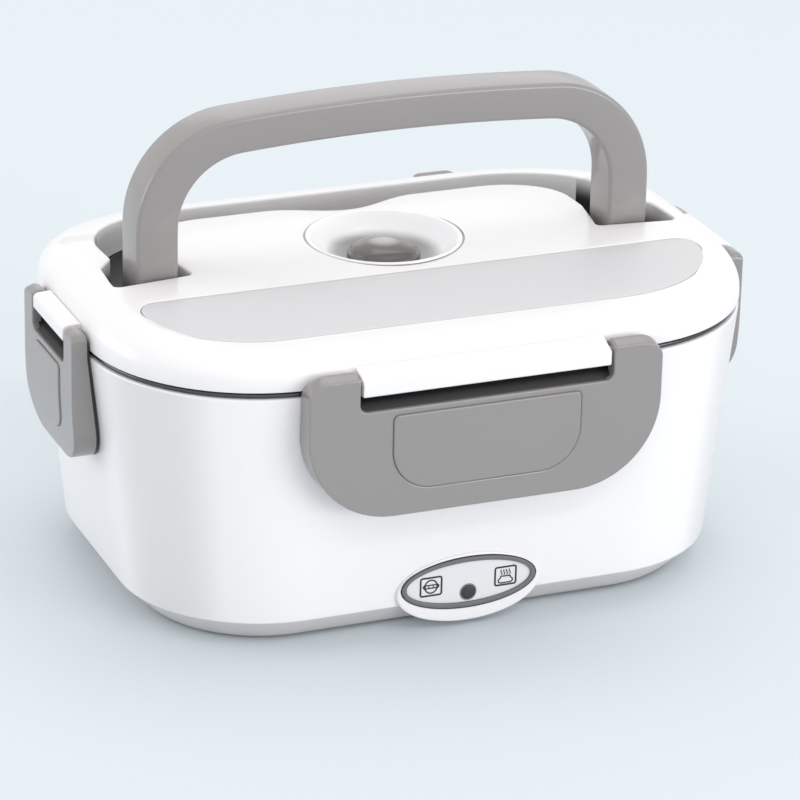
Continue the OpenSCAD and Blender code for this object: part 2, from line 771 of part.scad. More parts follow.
// Lid form: a skirt, a rounded edge and a crown from front to back
function crown(y) = crown_r - sqrt(crown_r * crown_r - y * y);
function lid_outline(inset) = rounded(body_w / 2 - inset, body_d / 2 - inset, body_r - inset);
function edge_ring(inset, drop, angle) =
    let (here = lid_outline(inset + (edge_r - inset) * (1 - cos(angle))), top = lid_outline(edge_r))
    [for (i = [0:len(here) - 1])
        [here[i][0], here[i][1], mix(shoulder_z, lid_z - drop - crown(top[i][1]), sin(angle))]];
function crown_ring(drop, share) =
    [for (p = lid_outline(edge_r)) [p[0] * share, p[1] * share, lid_z - drop - crown(p[1] * share)]];

module lid_form(inset, drop, z0) {
    loft(concat([lift(lid_outline(inset), z0)],
                [for (a = [0, 25, 45, 65, 90]) edge_ring(inset, drop, a)],
                [for (s = [0.75, 0.5, 0.25]) crown_ring(drop, s)]),
         [0, 0, lid_z - drop]);
}

// The crown alone, as a round surface that the cover follows
module crown_body(drop) {
    rotate([0, 90, 0]) translate([crown_r - lid_z + drop, 0, -body_w / 2])
        cylinder(r = crown_r, h = body_w, $fn = 360);
}

// Handle and the channel that it folds into
channel_gap = 2.2;
handle_rise = 0.25;
pin_cap = 3;
pin_hl = 10;
pin_boss = 2.5;
boss_l = 12;
handle_z = lid_z - handle_t / 2 + handle_rise;
channel_z = handle_z - handle_t / 2 - floor_gap;
tub_z = channel_z - lid_wall;
inner_hw = handle_hw - leg_w;
inner_r = handle_r - bar_h;
reach_y = body_d / 2 - handle_back;
handle_top_z = handle_z + reach_y - handle_y;
corner_y = reach_y - handle_r;
platform_y = reach_y - bar_h - handle_arch - stow_gap;
channel_front_y = handle_y - handle_t / 2 - channel_gap;
channel_out = 2 * stow_gap;
flare_y = handle_y + handle_t / 2 + 3;

// The handle's outline in the X-Z plane, with an arched top bar between round corners
function arch(hw, z, n) = [for (i = [0:n])
    let (x = mix(hw, -hw, i / n)) [x, z - handle_arch * pow(x / hw, 2)]];
function half_round(hw, top, r) = concat(
    [[hw, handle_z]],
    arc(hw - r, top - handle_arch - r, r, r, 0, 80, 8),
    arch(hw - r, top, 12),
    arc(r - hw, top - handle_arch - r, r, r, 100, 180, 8),
    [[-hw, handle_z]]);
function reversed(list) = [for (i = [len(list) - 1:-1:0]) list[i]];
function handle_outline(inset) = concat(
    half_round(handle_hw - inset, handle_top_z - inset, handle_r - inset),
    reversed(half_round(inner_hw + inset, handle_top_z - bar_h + inset, inner_r + inset)));

module handle() {
    edge = 1.2;
    half = handle_t / 2;
    color(grey) difference() {
        union() {
            slab(handle_outline(0), handle_y - half + edge, handle_y + half - edge);
            slab(handle_outline(edge), handle_y - half, handle_y + half);
            for (i = [-1, 1]) translate([i * (inner_hw + leg_w / 2), 0, 0])
                rod_x(-leg_w / 2, leg_w / 2, handle_y, handle_z, half);
        }
        rod_x(pin_cap - handle_hw, handle_hw - pin_cap, handle_y, handle_z, handle_pin_r + run_gap);
    }
}

module handle_pins() {
    color(steel) for (i = [-1, 1]) translate([i * (inner_hw - stow_gap), 0, 0])
        rod_x(-pin_hl, pin_hl, handle_y, handle_z, handle_pin_r);
}

// The channel's outline: pockets at the pivots, round back corners, and a platform with a finger scoop
pocket_spread = 1.6;
pocket_slant = 3.6;
pocket_flare = 4;
pocket_inner = 8;
function channel_outer(grow) = let (
    out = handle_hw + channel_out + grow, far = handle_hw + pocket_w + grow,
    r = handle_r + channel_out + grow, near = inner_hw - pocket_inner, front_y = channel_front_y - grow,
    pocket_y = handle_y + handle_t / 2 - channel_gap + grow, neck_y = pocket_y + pocket_w) concat(
    [[far + pocket_spread, front_y - pocket_slant / 2], [far, pocket_y], [out, neck_y]],
    arc(handle_hw - handle_r, corner_y, r, r, 0, 90, 8),
    arc(handle_r - handle_hw, corner_y, r, r, 90, 180, 8),
    [[-out, neck_y], [-far, pocket_y], [-far - pocket_spread, front_y - pocket_slant / 2],
     [-near, front_y + pocket_slant / 2], [near, front_y + pocket_slant / 2]]);
function scoop(x) = scoop_d * (0.5 + 0.5 * cos(180 * x / scoop_hw));
function platform(shrink) = let (
    hw = inner_hw - stow_gap - shrink, back = platform_y - shrink, r = inner_r - shrink) concat(
    [[hw - pocket_flare, channel_front_y - cut - 4 * shrink], [hw, flare_y]],
    arc(hw - r, back - r, r, r, 0, 90, 8),
    [for (i = [0:12]) let (x = mix(scoop_hw, -scoop_hw, i / 12)) [x, back - scoop(x)]],
    arc(r - hw, back - r, r, r, 90, 180, 8),
    [[-hw, flare_y], [pocket_flare - hw, channel_front_y - cut - 4 * shrink]]);

module channel(grow, z0, z1) {
    difference() {
        prism(channel_outer(grow), z0, z1);
        prism(platform(grow), z0 - cut, z1 + cut);
    }
}

// Cutlery compartment: the cover's outline, its hinge line and its frame
function window(grow) = let (
    hw = window_hw + grow, side_y = -(window_rear + window_rear_r), r = window_rear_r + grow,
    rx = window_corner_w + grow, ry = window_front - window_rear - window_rear_r + grow) concat(
    arc(hw - r, side_y, r, r, 0, 90, 6),
    arc(r - hw, side_y, r, r, 90, 180, 6),
    arc(rx - hw, side_y, rx, ry, 180, 270, 10),
    arc(hw - rx, side_y, rx, ry, 270, 360, 10));
barrel_y = -(window_rear + window_gap + barrel_r);
barrel_z = lid_z - crown(barrel_y) - barrel_r;
barrel_hw = window_hw - window_rear_r + 2.5;
relief_hw = window_hw - 1.4;
relief_r = barrel_r + 2 * window_gap;
cover_pin_in = 10;
cover_pin_out = 3;
window_ledge = 2.4;
frame_t = 2;
frame_low_z = lid_z - crown(window_front) - window_t - frame_t;
tray_z = tub_z + tray_wall;
tray_edge = 1.2;
rib_x = -21;
rib_t = 2.6;
rib_in = 5;
rib_l = 12;

// Steam vent
seat_rise = 1.3;
seat_z = lid_z - crown(vent_y + vent_r);
vent_top_z = seat_z + seat_rise;
vent_in_r = vent_r - vent_ring_w;
bowl_z = vent_top_z - vent_depth;
bowl_wall = 1.2;
bowl_gap = 0.6;
stem_l = 6;
plug_edge = 1;
function bowl(r0, z0, r1, z1, n) = [for (i = [0:n]) [mix(r0, r1, i / n), mix(z0, z1, (i / n) * (i / n))]];

module vent_profile() {
    under = [bowl_wall / 2, -bowl_wall - fit_gap];
    cup_r = plug_r + bowl_gap;
    polygon(concat(
        [[steam_r, tub_z], [steam_r, bowl_z]],
        bowl(cup_r, bowl_z, vent_in_r, vent_top_z, 8),
        [[vent_r, vent_top_z], [vent_r, seat_z], [vent_in_r, seat_z]],
        [for (i = [1:8]) bowl(cup_r, bowl_z, vent_in_r, vent_top_z, 8)[8 - i] + under],
        [[steam_r + bowl_wall, bowl_z - bowl_wall], [steam_r + bowl_wall, tub_z]]));
}

module vent_cup() {
    color(clear) translate([0, vent_y, 0]) rotate_extrude() vent_profile();
}

module vent_plug() {
    stem_r = steam_r - fit_gap;
    color(clear) translate([0, vent_y, 0]) rotate_extrude() polygon(concat(
        [[0, bowl_z - stem_l], [stem_r, bowl_z - stem_l], [stem_r, bowl_z], [plug_r, bowl_z],
         [plug_r, bowl_z + plug_edge]],
        arc(0, bowl_z + plug_edge, plug_r, plug_h - plug_edge, 0, 90, 8)));
}

// Latch geometry, in the front latch's place: outward is -Y and the body's face is at y = 0
ear_top_z = skirt_z + ear_rise;
notch_z = rim_z - notch_drop;
bar_depths = [4.2, 2.6, 4.2, 2.6];
latch_hws = [long_latch_hw, short_latch_hw, long_latch_hw, short_latch_hw];
notch_hws = [long_notch_hw, short_notch_hw, long_notch_hw, short_notch_hw];
ear_rs = [long_ear_r, short_ear_r, long_ear_r, short_ear_r];
low_rs = [long_low_r, short_low_r, long_low_r, short_low_r];
latch_lows = [long_low_z, short_low_z, long_low_z, short_low_z];
latch_bends = [0, short_bend, 0, short_bend];
function pivot_y(side) = -latch_gap - ear_rs[side];
function pivot_z(side) = ear_top_z - ear_rs[side];
function bar_low_z(side) = pivot_z(side) - bar_depths[side];
function latch_outline(side, inset) = let (
    hw = latch_hws[side] - inset, low = latch_lows[side] + inset, r = low_rs[side] - inset,
    notch = notch_hws[side] + inset, top = pivot_z(side)) concat(
    arc(hw - r, low + r, r, r, 270, 360, 8),
    [[hw, top], [notch, top], [notch, notch_z - inset], [-notch, notch_z - inset], [-notch, top], [-hw, top]],
    arc(r - hw, low + r, r, r, 180, 270, 8));
panel_drop = 2.2;
panel_low = 9;
panel_share = 0.74;
panel_r = 2;
panel_out = 0.5;
grip_side = 1.5;
grip_ts = [1.2, 0.2, 1.2, 0.2];
notch_web = 5;
pin_end = 2.6;
hook_gap = 0.3;
hook_h = 2.9;
hook_side = 2;
bend_z = 78;
web_t = 1.4;
web_gap = 0.4;
swing_gap = 0.25;
function panel_outline(side) = let (
    hw = notch_hws[side] * panel_share, r = low_rs[side] * 0.47,
    low = latch_lows[side] + panel_low, top = notch_z - panel_drop) concat(
    arc(hw - r, low + r, r, r, 270, 360, 6),
    arc(hw - panel_r, top - panel_r, panel_r, panel_r, 0, 90, 3),
    arc(panel_r - hw, top - panel_r, panel_r, panel_r, 90, 180, 3),
    arc(r - hw, low + r, r, r, 180, 270, 6));

// A latch's profile in the Y-Z plane, where a side latch's face bends in toward its lower edge
function latch_profile(side, inset, back_y) = let (
    front_y = pivot_y(side) - ear_rs[side] + inset, bend = latch_bends[side],
    low = latch_lows[side], n = bend > 0 ? 8 : 0) concat(
    [[back_y, low - cut]],
    [for (i = [0:n]) let (z = n > 0 ? mix(low - cut, bend_z, i / n) : low - cut)
        [front_y + bend * pow((bend_z - z) / (bend_z - low), 2), z]],
    [[front_y, ear_top_z + cut], [back_y, ear_top_z + cut]]);

// An ear with a rounded upper corner
module latch_ear(side) {
    r = ear_rs[side];
    hw = latch_hws[side];
    notch = notch_hws[side];
    low = pivot_z(side) - r - cut;
    intersection() {
        rod_x(notch, hw + cut, pivot_y(side), pivot_z(side), r);
        slab(concat([[notch - cut, low], [hw, low]],
                    arc(hw - r, pivot_z(side) + run_gap, r, r, 0, 90, 6),
                    [[notch - cut, pivot_z(side) + r + run_gap]]), pivot_y(side) - r - cut, cut);
    }
}

module latch(side) {
    front_y = pivot_y(side) - ear_rs[side];
    hw = latch_hws[side];
    notch = notch_hws[side];
    low = latch_lows[side];
    grip_hw = catch_hw[side] + grip_side;
    grip_y = front_y + latch_bends[side] + latch_plate_t + grip_ts[side];
    inner_top = notch_z - notch_web;
    hook_hw = catch_hw[side] - hook_side;
    hook_z = catch_low_z - hook_gap;
    web_y = -catch_out - web_gap;
    web_top = pivot_z(side) - norm([ear_rs[side], bar_depths[side]]) - swing_gap;
    color(grey) difference() {
        union() {
            intersection() {
                slab(latch_outline(side, 0), front_y - cut, cut);
                bar(latch_profile(side, 0, -latch_gap), -hw - cut, hw + cut);
            }
            intersection() {
                slab(panel_outline(side), front_y - cut, -latch_gap - cut);
                bar(latch_profile(side, -panel_out, 0), -hw, hw);
            }
            latch_ear(side);
            mirror([1, 0, 0]) latch_ear(side);
        }
        intersection() {
            slab(latch_outline(side, latch_rim), front_y - cut, cut);
            bar(latch_profile(side, latch_plate_t, 2 * cut), -hw, hw);
            block([-hw, front_y, 0], [hw, 2 * cut, inner_top]);
        }
        block([-notch, front_y + latch_plate_t, inner_top - cut], [notch, cut, notch_z + cut]);
        block([-grip_hw, grip_y, 0], [grip_hw, cut, low + latch_rim + cut]);
        rod_x(-hw + pin_end, hw - pin_end, pivot_y(side), pivot_z(side), latch_pin_r + run_gap);
    }
    color(grey) block([-hook_hw, front_y + latch_plate_t - fit_gap, hook_z - hook_h],
                      [hook_hw, -catch_out - hook_gap, hook_z]);
    color(grey) block([-notch - cut, web_y - web_t, inner_top - web_t], [notch + cut, web_y, web_top]);
}

module placed_latch(side) {
    rotate(90 * side) translate([0, -latch_reach[side], 0]) latch(side);
}

module front_latch() {
    placed_latch(0);
}

module right_latch() {
    placed_latch(1);
}

module rear_latch() {
    placed_latch(2);
}

module left_latch() {
    placed_latch(3);
}

// Hinge bar between a latch's ears, part of the lid's shell
bar_end = 1;
bar_drops = [1.6, 0.5, 1.6, 0.5];
bar_edge = 0.7;
bar_roots = [1.9, 0.6, 1.9, 0.6];

module hinge_bar(side) {
    front_y = pivot_y(side) - ear_rs[side];
    hw = notch_hws[side] - bar_end;
    low_z = bar_low_z(side);
    top_z = ear_top_z - bar_drops[side];
    root_z = top_z + bar_roots[side];
    root_y = lid_wall * 0.7;
    bar([[front_y, low_z + bar_edge], [front_y + bar_edge, low_z], [-latch_gap, low_z],
         [-latch_gap, skirt_z], [root_y, skirt_z], [root_y, shoulder_z + lid_wall],
         [lid_wall * 1.5, root_z], [lid_wall * 0.25, root_z],
         [front_y + bar_edge, top_z], [front_y, top_z - bar_edge]], -hw, hw);
}

module latch_pins() {
    color(steel) for (side = [0:3]) rotate(90 * side) translate([0, -latch_reach[side], 0])
        rod_x(-latch_hws[side] + pin_end + fit_gap, latch_hws[side] - pin_end - fit_gap,
              pivot_y(side), pivot_z(side), latch_pin_r);
}

// Lid pieces
module lid_shell() {
    color(white) difference() {
        union() {
            difference() {
                lid_form(0, 0, skirt_z);
                lid_form(lid_wall, lid_wall, skirt_z - cut);
            }
            intersection() {
                lid_form(lid_wall / 4, 0, tub_z - cut);
                union() {
                    channel(lid_wall, tub_z, lid_z + cut);
                    difference() {
                        prism(window(lid_wall), frame_low_z, lid_z);
                        prism(window(-window_ledge), frame_low_z - cut, lid_z + cut);
                    }
                    for (i = [-1, 1]) translate([i * (inner_hw - stow_gap), 0, 0])
                        rod_x(i > 0 ? -boss_l : 0, i > 0 ? 0 : boss_l, handle_y, handle_z,
                              handle_pin_r + pin_boss);
                }
            }
            side_places() {
                hinge_bar(0);
                hinge_bar(1);
                hinge_bar(2);
                hinge_bar(3);
            }
        }
        channel(0, channel_z, lid_z + cut);
        difference() {
            prism(window(0), frame_low_z - cut, lid_z + cut);
            intersection() {
                crown_body(window_t + 0.3);
                difference() {
                    prism(window(cut), frame_low_z - 2 * cut, lid_z);
                    prism(window(-window_ledge), frame_low_z - 3 * cut, lid_z + cut);
                }
            }
        }
        rod_x(-relief_hw, relief_hw, barrel_y, barrel_z, relief_r);
        rod_x(-relief_hw - cover_pin_out, relief_hw + cover_pin_out, barrel_y, barrel_z, cover_pin_r);
        translate([0, vent_y, 0]) {
            translate([0, 0, seat_z]) cylinder(r = vent_r + 0.1, h = 5);
            translate([0, 0, tub_z]) cylinder(r = vent_in_r, h = lid_h + 5);
        }
        for (i = [-1, 1]) translate([i * (inner_hw - stow_gap), 0, 0])
            rod_x(-pin_hl, pin_hl, handle_y, handle_z, handle_pin_r);
        for (side = [0:3]) rotate(90 * side) translate([0, -latch_reach[side], 0])
            rod_x(-notch_hws[side], notch_hws[side], pivot_y(side), pivot_z(side), latch_pin_r);
    }
}

flange_lift = 1.2;
flange_t = 1.4;
seal_side = 0.4;
flange_z = skirt_z + flange_lift;
flange_top_z = flange_z + flange_t;
function flat_ring(inset, z) = lift(lid_outline(inset), z);

module lid_liner() {
    plate_z = tub_z - plug_wall;
    color(white) difference() {
        union() {
            loft([flat_ring(lid_wall + fit_gap, flange_z), flat_ring(lid_wall + fit_gap, flange_top_z)]);
            loft([flat_ring(plug_in + plug_edge, plate_z), flat_ring(plug_in, plate_z + plug_edge),
                  flat_ring(plug_in, flange_top_z)]);
        }
        loft([flat_ring(plug_in + plug_wall, tub_z), flat_ring(plug_in + plug_wall, flange_top_z + cut)]);
        translate([0, vent_y, plate_z - cut]) cylinder(r = steam_r, h = plug_wall + 2 * cut);
    }
}

module lid_seal() {
    seal_in = plug_in - seal_side - seal_w;
    low_z = rim_z + sheet_t + seal_gap;
    color([0.8, 0.82, 0.83]) difference() {
        loft([flat_ring(seal_in, low_z), flat_ring(seal_in, flange_z)]);
        loft([flat_ring(seal_in + seal_w, low_z - cut), flat_ring(seal_in + seal_w, flange_z + cut)]);
    }
}

module cutlery_tray() {
    color([0.9, 0.9, 0.91]) intersection() {
        union() {
            difference() {
                union() {
                    prism(window(-window_ledge - fit_gap), tray_z - tray_wall, lid_z);
                    prism(window(tray_edge), frame_low_z - tray_wall, frame_low_z);
                }
                prism(window(-window_ledge - fit_gap - tray_wall), tray_z, lid_z + cut);
            }
            block([rib_x, -window_front + rib_in, tray_z - fit_gap],
                  [rib_x + rib_t, -window_front + rib_in + rib_l, frame_low_z + tray_wall]);
        }
        difference() {
            crown_body(window_t + 0.3);
            rod_x(-relief_hw, relief_hw, barrel_y, barrel_z, relief_r);
        }
    }
}

module cutlery_cover() {
    color(clear) difference() {
        union() {
            intersection() {
                difference() {
                    crown_body(0);
                    crown_body(window_t);
                }
                prism(window(-window_gap), frame_low_z, lid_z + cut);
                block([-body_w / 2, -body_d / 2, 0], [body_w / 2, barrel_y, lid_z + cut]);
            }
            rod_x(-barrel_hw, barrel_hw, barrel_y, barrel_z, barrel_r);
        }
        for (i = [-1, 1]) translate([i * relief_hw, 0, 0])
            rod_x(-cover_pin_in - cut, cover_pin_in, barrel_y, barrel_z, cover_pin_r + run_gap);
    }
}

module cover_hinge_pins() {
    color(steel) for (i = [-1, 1]) mirror([i < 0 ? 1 : 0, 0, 0])
        rod_x(relief_hw - cover_pin_in, relief_hw + cover_pin_out, barrel_y, barrel_z, cover_pin_r);
}

outer_shell();
inner_liner();
base_cover();
rubber_feet();
base_screws();
heater_plate();
ptc_heater();
heater_clamp();
clamp_screws();
thermostat();
thermal_fuse();
heat_shield();
power_inlet();
inlet_pins();
panel_bezel();
panel_face();
panel_icons();
led_lens();
led_board();
wiring();
steel_container();
lid_shell();
lid_liner();
lid_seal();
vent_cup();
vent_plug();
cutlery_tray();
cutlery_cover();
cover_hinge_pins();
handle();
handle_pins();
front_latch();
rear_latch();
left_latch();
right_latch();
latch_pins();
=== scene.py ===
"""Looks of the heated lunch box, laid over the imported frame.

Lengths are in millimetres unless a line says otherwise. X runs to the right, Y to the back and Z up.
An outline is an array of flat points, counter-clockwise. A ring is an outline placed in space.
"""
import json
from math import acos, ceil, cos, pi, radians, sin, sqrt, tan
from types import SimpleNamespace

import bmesh
import bpy
import numpy as np
from mathutils import Matrix, Vector
from mathutils.geometry import delaunay_2d_cdt


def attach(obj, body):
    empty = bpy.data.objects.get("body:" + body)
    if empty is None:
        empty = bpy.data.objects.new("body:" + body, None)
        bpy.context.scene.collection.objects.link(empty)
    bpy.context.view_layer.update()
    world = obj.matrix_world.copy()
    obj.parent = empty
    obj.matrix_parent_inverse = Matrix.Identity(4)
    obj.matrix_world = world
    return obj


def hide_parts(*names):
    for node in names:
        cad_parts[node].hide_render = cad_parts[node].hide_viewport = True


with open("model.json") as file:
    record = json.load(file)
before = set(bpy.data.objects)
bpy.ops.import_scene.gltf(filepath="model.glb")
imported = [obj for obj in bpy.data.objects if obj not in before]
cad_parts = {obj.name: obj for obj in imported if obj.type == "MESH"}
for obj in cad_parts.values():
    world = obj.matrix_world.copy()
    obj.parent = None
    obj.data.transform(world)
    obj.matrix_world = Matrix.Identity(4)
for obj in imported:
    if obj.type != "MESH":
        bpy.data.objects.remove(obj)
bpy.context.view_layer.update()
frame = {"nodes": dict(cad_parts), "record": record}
MM = 0.001
scene = bpy.context.scene

# Sizes of the part, as in its source
# Body at the rim: width, depth, corner radius, height. How much each draws in down to the base band
BODY_W, BODY_D, BODY_R, RIM_Z = 230.0, 160.4, 57.4, 92.0
DRAFT_X, DRAFT_Y, DRAFT_R, WALL = 9.9, 5.5, 8.9, 2.2
# Base band with the feet and the screw wells
BASE_H, BASE_IN, FOOT_Z = 9.9, 9.9, 0.8
FOOT_X, FOOT_Y, FOOT_R = 78.0, 30.0, 6.0
SCREW_X, SCREW_Y, SCREW_SEAT, WELL_R = 60.0, 49.0, 3.6, 3.2
# Liner and steel container
LINER_IN, LINER_FLOOR, LINER_DRAFT, FLANGE_IN = 6.2, 32.0, 4.1, 2.4
SHEET_IN, SHEET_T, PAN_FLOOR, PAN_DRAFT, PAN_BEND = 6.6, 0.6, 33.5, 5.4, 5.0
# Lid: heights, round edge, radius of its crown, and the liner under it
SKIRT_Z, SHOULDER_Z, LID_Z = 94.3, 97.0, 110.0
EDGE_R, CROWN_R, LID_WALL = 13.0, 446.0, 2.0
PLUG_IN, PLUG_Z, FLANGE_Z = 7.8, 89.55, 95.5
# Handle, and its channel in the lid
HANDLE_HW, LEG_W, HANDLE_T, HANDLE_TOP = 92.6, 14.6, 16.5, 164.4
BAR_H, HANDLE_R, ARCH, HANDLE_Y, HANDLE_Z = 12.5, 37.0, 2.0, 0.75, 102.0
CHANNEL_Z, CHANNEL_Y, POCKET_Y, NECK_Y = 93.35, -9.7, 6.8, 14.6
CHANNEL_X, POCKET_X, CHANNEL_REAR = 94.4, 100.4, 63.15
PLATFORM_HW, PLATFORM_Y, PLATFORM_R, SCOOP_HW, SCOOP = 77.1, 47.75, 24.5, 28.0, 10.0
# Cutlery window, and the barrel of its cover's hinge
WINDOW_HW, WINDOW_REAR, WINDOW_FRONT, WINDOW_R, WINDOW_W = 100.0, 26.0, 63.0, 8.0, 40.0
WINDOW_T, BARREL_R, BARREL_Y, BARREL_HW = 1.6, 1.3, -27.6, 94.5
# Steam vent and its plug
VENT_Y, VENT_R, VENT_IN, VENT_TOP, BOWL_Z = 5.0, 27.4, 25.2, 110.12, 103.12
PLUG_R, PLUG_H, STEAM_R, STEAM_Z = 12.5, 5.4, 5.0, 91.35
# Indicator on the front, and the power inlet on the back
DIAL_A, DIAL_B, DIAL_Z, APRON_Y = 24.3, 9.3, 16.3, -76.43
APRON_A, APRON_B, APRON_Z = 25.6, 12.3, 14.4
FACE_Y, RING_W, LAMP_Z, LAMP_R = -76.03, 2.0, 12.4, 3.0
INLET_Z, INLET_W, INLET_H, PAD_Y = 21.0, 25.6, 15.6, 76.44
# Latches: play at the body, top of the ears, lower edge of the notch, height where a side latch bends
GAP, EAR_TOP, NOTCH_Z, BEND_Z = 0.4, 100.5, 87.4, 78.0
HOOK_LOW, HOOK_TOP, CATCH_LOW, CATCH_TOP = 81.3, 84.2, 84.5, 87.0

# Points on each corner of the body's outline, and stretches on its long and short sides
CORNER_STEPS, SIDE_STEPS = 26, (16, 8)


# Outlines
def unit(vectors):
    """Vectors at length one. A zero vector stays zero."""
    length = np.linalg.norm(vectors, axis=-1, keepdims=True)
    return vectors / np.where(length < 1e-12, 1, length)


def degrees(start, end, count):
    """Evenly spaced angles, given in degrees, as radians."""
    return np.radians(np.linspace(start, end, count))


def arc(cx, cy, rx, ry, start, end, steps):
    """Points on an ellipse about (cx, cy), from one angle to another."""
    angle = degrees(start, end, steps + 1)
    return np.stack([cx + rx * np.cos(angle), cy + ry * np.sin(angle)], 1)


def ellipse(rx, ry, count=128):
    return arc(0, 0, rx, ry, 0, 360, count)[:-1]


def rounded(half_w, half_d, r):
    """A rectangle with round corners, always with the same number of points."""
    x, y = half_w - r, half_d - r
    corners = [arc(cx, cy, r, r, start, start + 90, CORNER_STEPS)
               for cx, cy, start in ((x, y, 0), (-x, y, 90), (-x, -y, 180), (x, -y, 270))]
    outline = []
    for i, corner in enumerate(corners):
        here, ahead = corner[-1], corners[(i + 1) % 4][0]
        share = np.linspace(0, 1, SIDE_STEPS[i % 2] + 1)[1:-1, None]
        outline += [corner, here + (ahead - here) * share]
    return np.concatenate(outline)


def soften(points, radii, steps=7):
    """A closed outline with its corners rounded by the given radii. Radius 0 keeps a point."""
    points, out = np.asarray(points, float), []
    for i, r in enumerate(radii):
        here, back, ahead = points[i], points[i - 1], points[(i + 1) % len(points)]
        if r <= 0:
            out.append(here[None])
            continue
        to_back, to_ahead = unit(back - here), unit(ahead - here)
        half = acos(max(-1, min(1, float(to_back @ to_ahead)))) / 2
        start, end = here + to_back * r / tan(half), here + to_ahead * r / tan(half)
        centre = here + unit(to_back + to_ahead) * r / sin(half)
        first, last = start - centre, end - centre
        turn = acos(max(-1, min(1, float(unit(first) @ unit(last)))))
        share = np.linspace(0, 1, steps + 1)[:, None]
        swept = np.sin((1 - share) * turn) * first + np.sin(share * turn) * last
        out.append(centre + swept / sin(turn))
    return np.concatenate(out)


def block(x0, y0, x1, y1, radii, steps=7):
    """A rectangle from (x0, y0) to (x1, y1) with the given corner radii."""
    return soften([(x0, y0), (x1, y0), (x1, y1), (x0, y1)], radii, steps)


def rectangle(half_w, half_h, r, steps=7):
    return block(-half_w, -half_h, half_w, half_h, [r] * 4, steps)


def densify(points, step):
    """An outline with its points at most a step apart."""
    out = []
    for here, ahead in zip(points, np.roll(points, -1, 0)):
        count = max(1, int(ceil(np.linalg.norm(ahead - here) / step)))
        out.append(here + (ahead - here) * np.arange(count)[:, None] / count)
    return np.concatenate(out)


def offset(points, distance):
    """An outline moved outward by distance."""
    points = np.asarray(points, float)
    before, after = unit(points - np.roll(points, 1, 0)), unit(np.roll(points, -1, 0) - points)
    normal_1 = np.stack([before[:, 1], -before[:, 0]], 1)
    normal_2 = np.stack([after[:, 1], -after[:, 0]], 1)
    sharpness = np.maximum(1 + (normal_1 * normal_2).sum(1, keepdims=True), 0.3)
    return points + distance * (normal_1 + normal_2) / sharpness


def inside(points, outline):
    """Which of the points lie inside the outline."""
    x, y = points[:, 0], points[:, 1]
    hit = np.zeros(len(points), bool)
    for (x0, y0), (x1, y1) in zip(outline, np.roll(outline, -1, 0)):
        if y0 != y1:
            between = (y0 > y) != (y1 > y)
            hit ^= between & (x < (x1 - x0) * (y - y0) / (y1 - y0) + x0)
    return hit


def within(points, outer, holes):
    """Which of the points lie inside outer and outside every hole."""
    good = inside(points, outer)
    for hole in holes:
        good &= ~inside(points, hole)
    return good


def quarter(edge, steps=5):
    """Steps of a round edge: (offset, depth) from (-edge, 0) to (0, edge)."""
    return [(-edge * (1 - sin(x)), edge * (1 - cos(x))) for x in degrees(0, 90, steps + 1)]


def bend(z, inset, r, start, end, count):
    """Steps (z, inset) of a round bend of radius r, which runs flat at z and upright at inset."""
    return [(z + r * (1 - cos(x)), inset + r * (1 - sin(x))) for x in degrees(start, end, count)]


# Rings: outlines placed in space
def flat(outline, z):
    return np.column_stack([outline, np.full(len(outline), float(z))])


def upright(outline, y, centre_z=0.0):
    """An outline of (x, z) that stands at depth y."""
    return np.column_stack([outline[:, 0], np.full(len(outline), y), outline[:, 1] + centre_z])


def along_x(outline, x):
    """An outline of (y, z) that stands at x."""
    return np.column_stack([np.full(len(outline), x), outline])


def level(z):
    """How far down the body height z is: 0 at the rim, 1 at the base band."""
    return (RIM_Z - z) / (RIM_Z - BASE_H)


def body_ring(z, inset):
    """The body's outline at height z, moved inward by inset."""
    k = level(z)
    return flat(rounded(BODY_W / 2 - DRAFT_X * k - inset, BODY_D / 2 - DRAFT_Y * k - inset,
                        BODY_R - DRAFT_R * k - inset), z)


def base_ring(z, inset):
    """The same for the base band."""
    ring = body_ring(BASE_H, inset + BASE_IN * (BASE_H - z) / (BASE_H - FOOT_Z))
    ring[:, 2] = z
    return ring


def lid_outline(inset):
    return rounded(BODY_W / 2 - inset, BODY_D / 2 - inset, BODY_R - inset)


def crown(y):
    """How far the lid's top lies below its highest line at depth y."""
    return CROWN_R - np.sqrt(CROWN_R ** 2 - y ** 2)


def crowned(points, drop=0.0):
    """Points laid on the lid's top, or below it by drop."""
    return np.column_stack([points[:, 0], points[:, 1], LID_Z - crown(points[:, 1]) - drop])


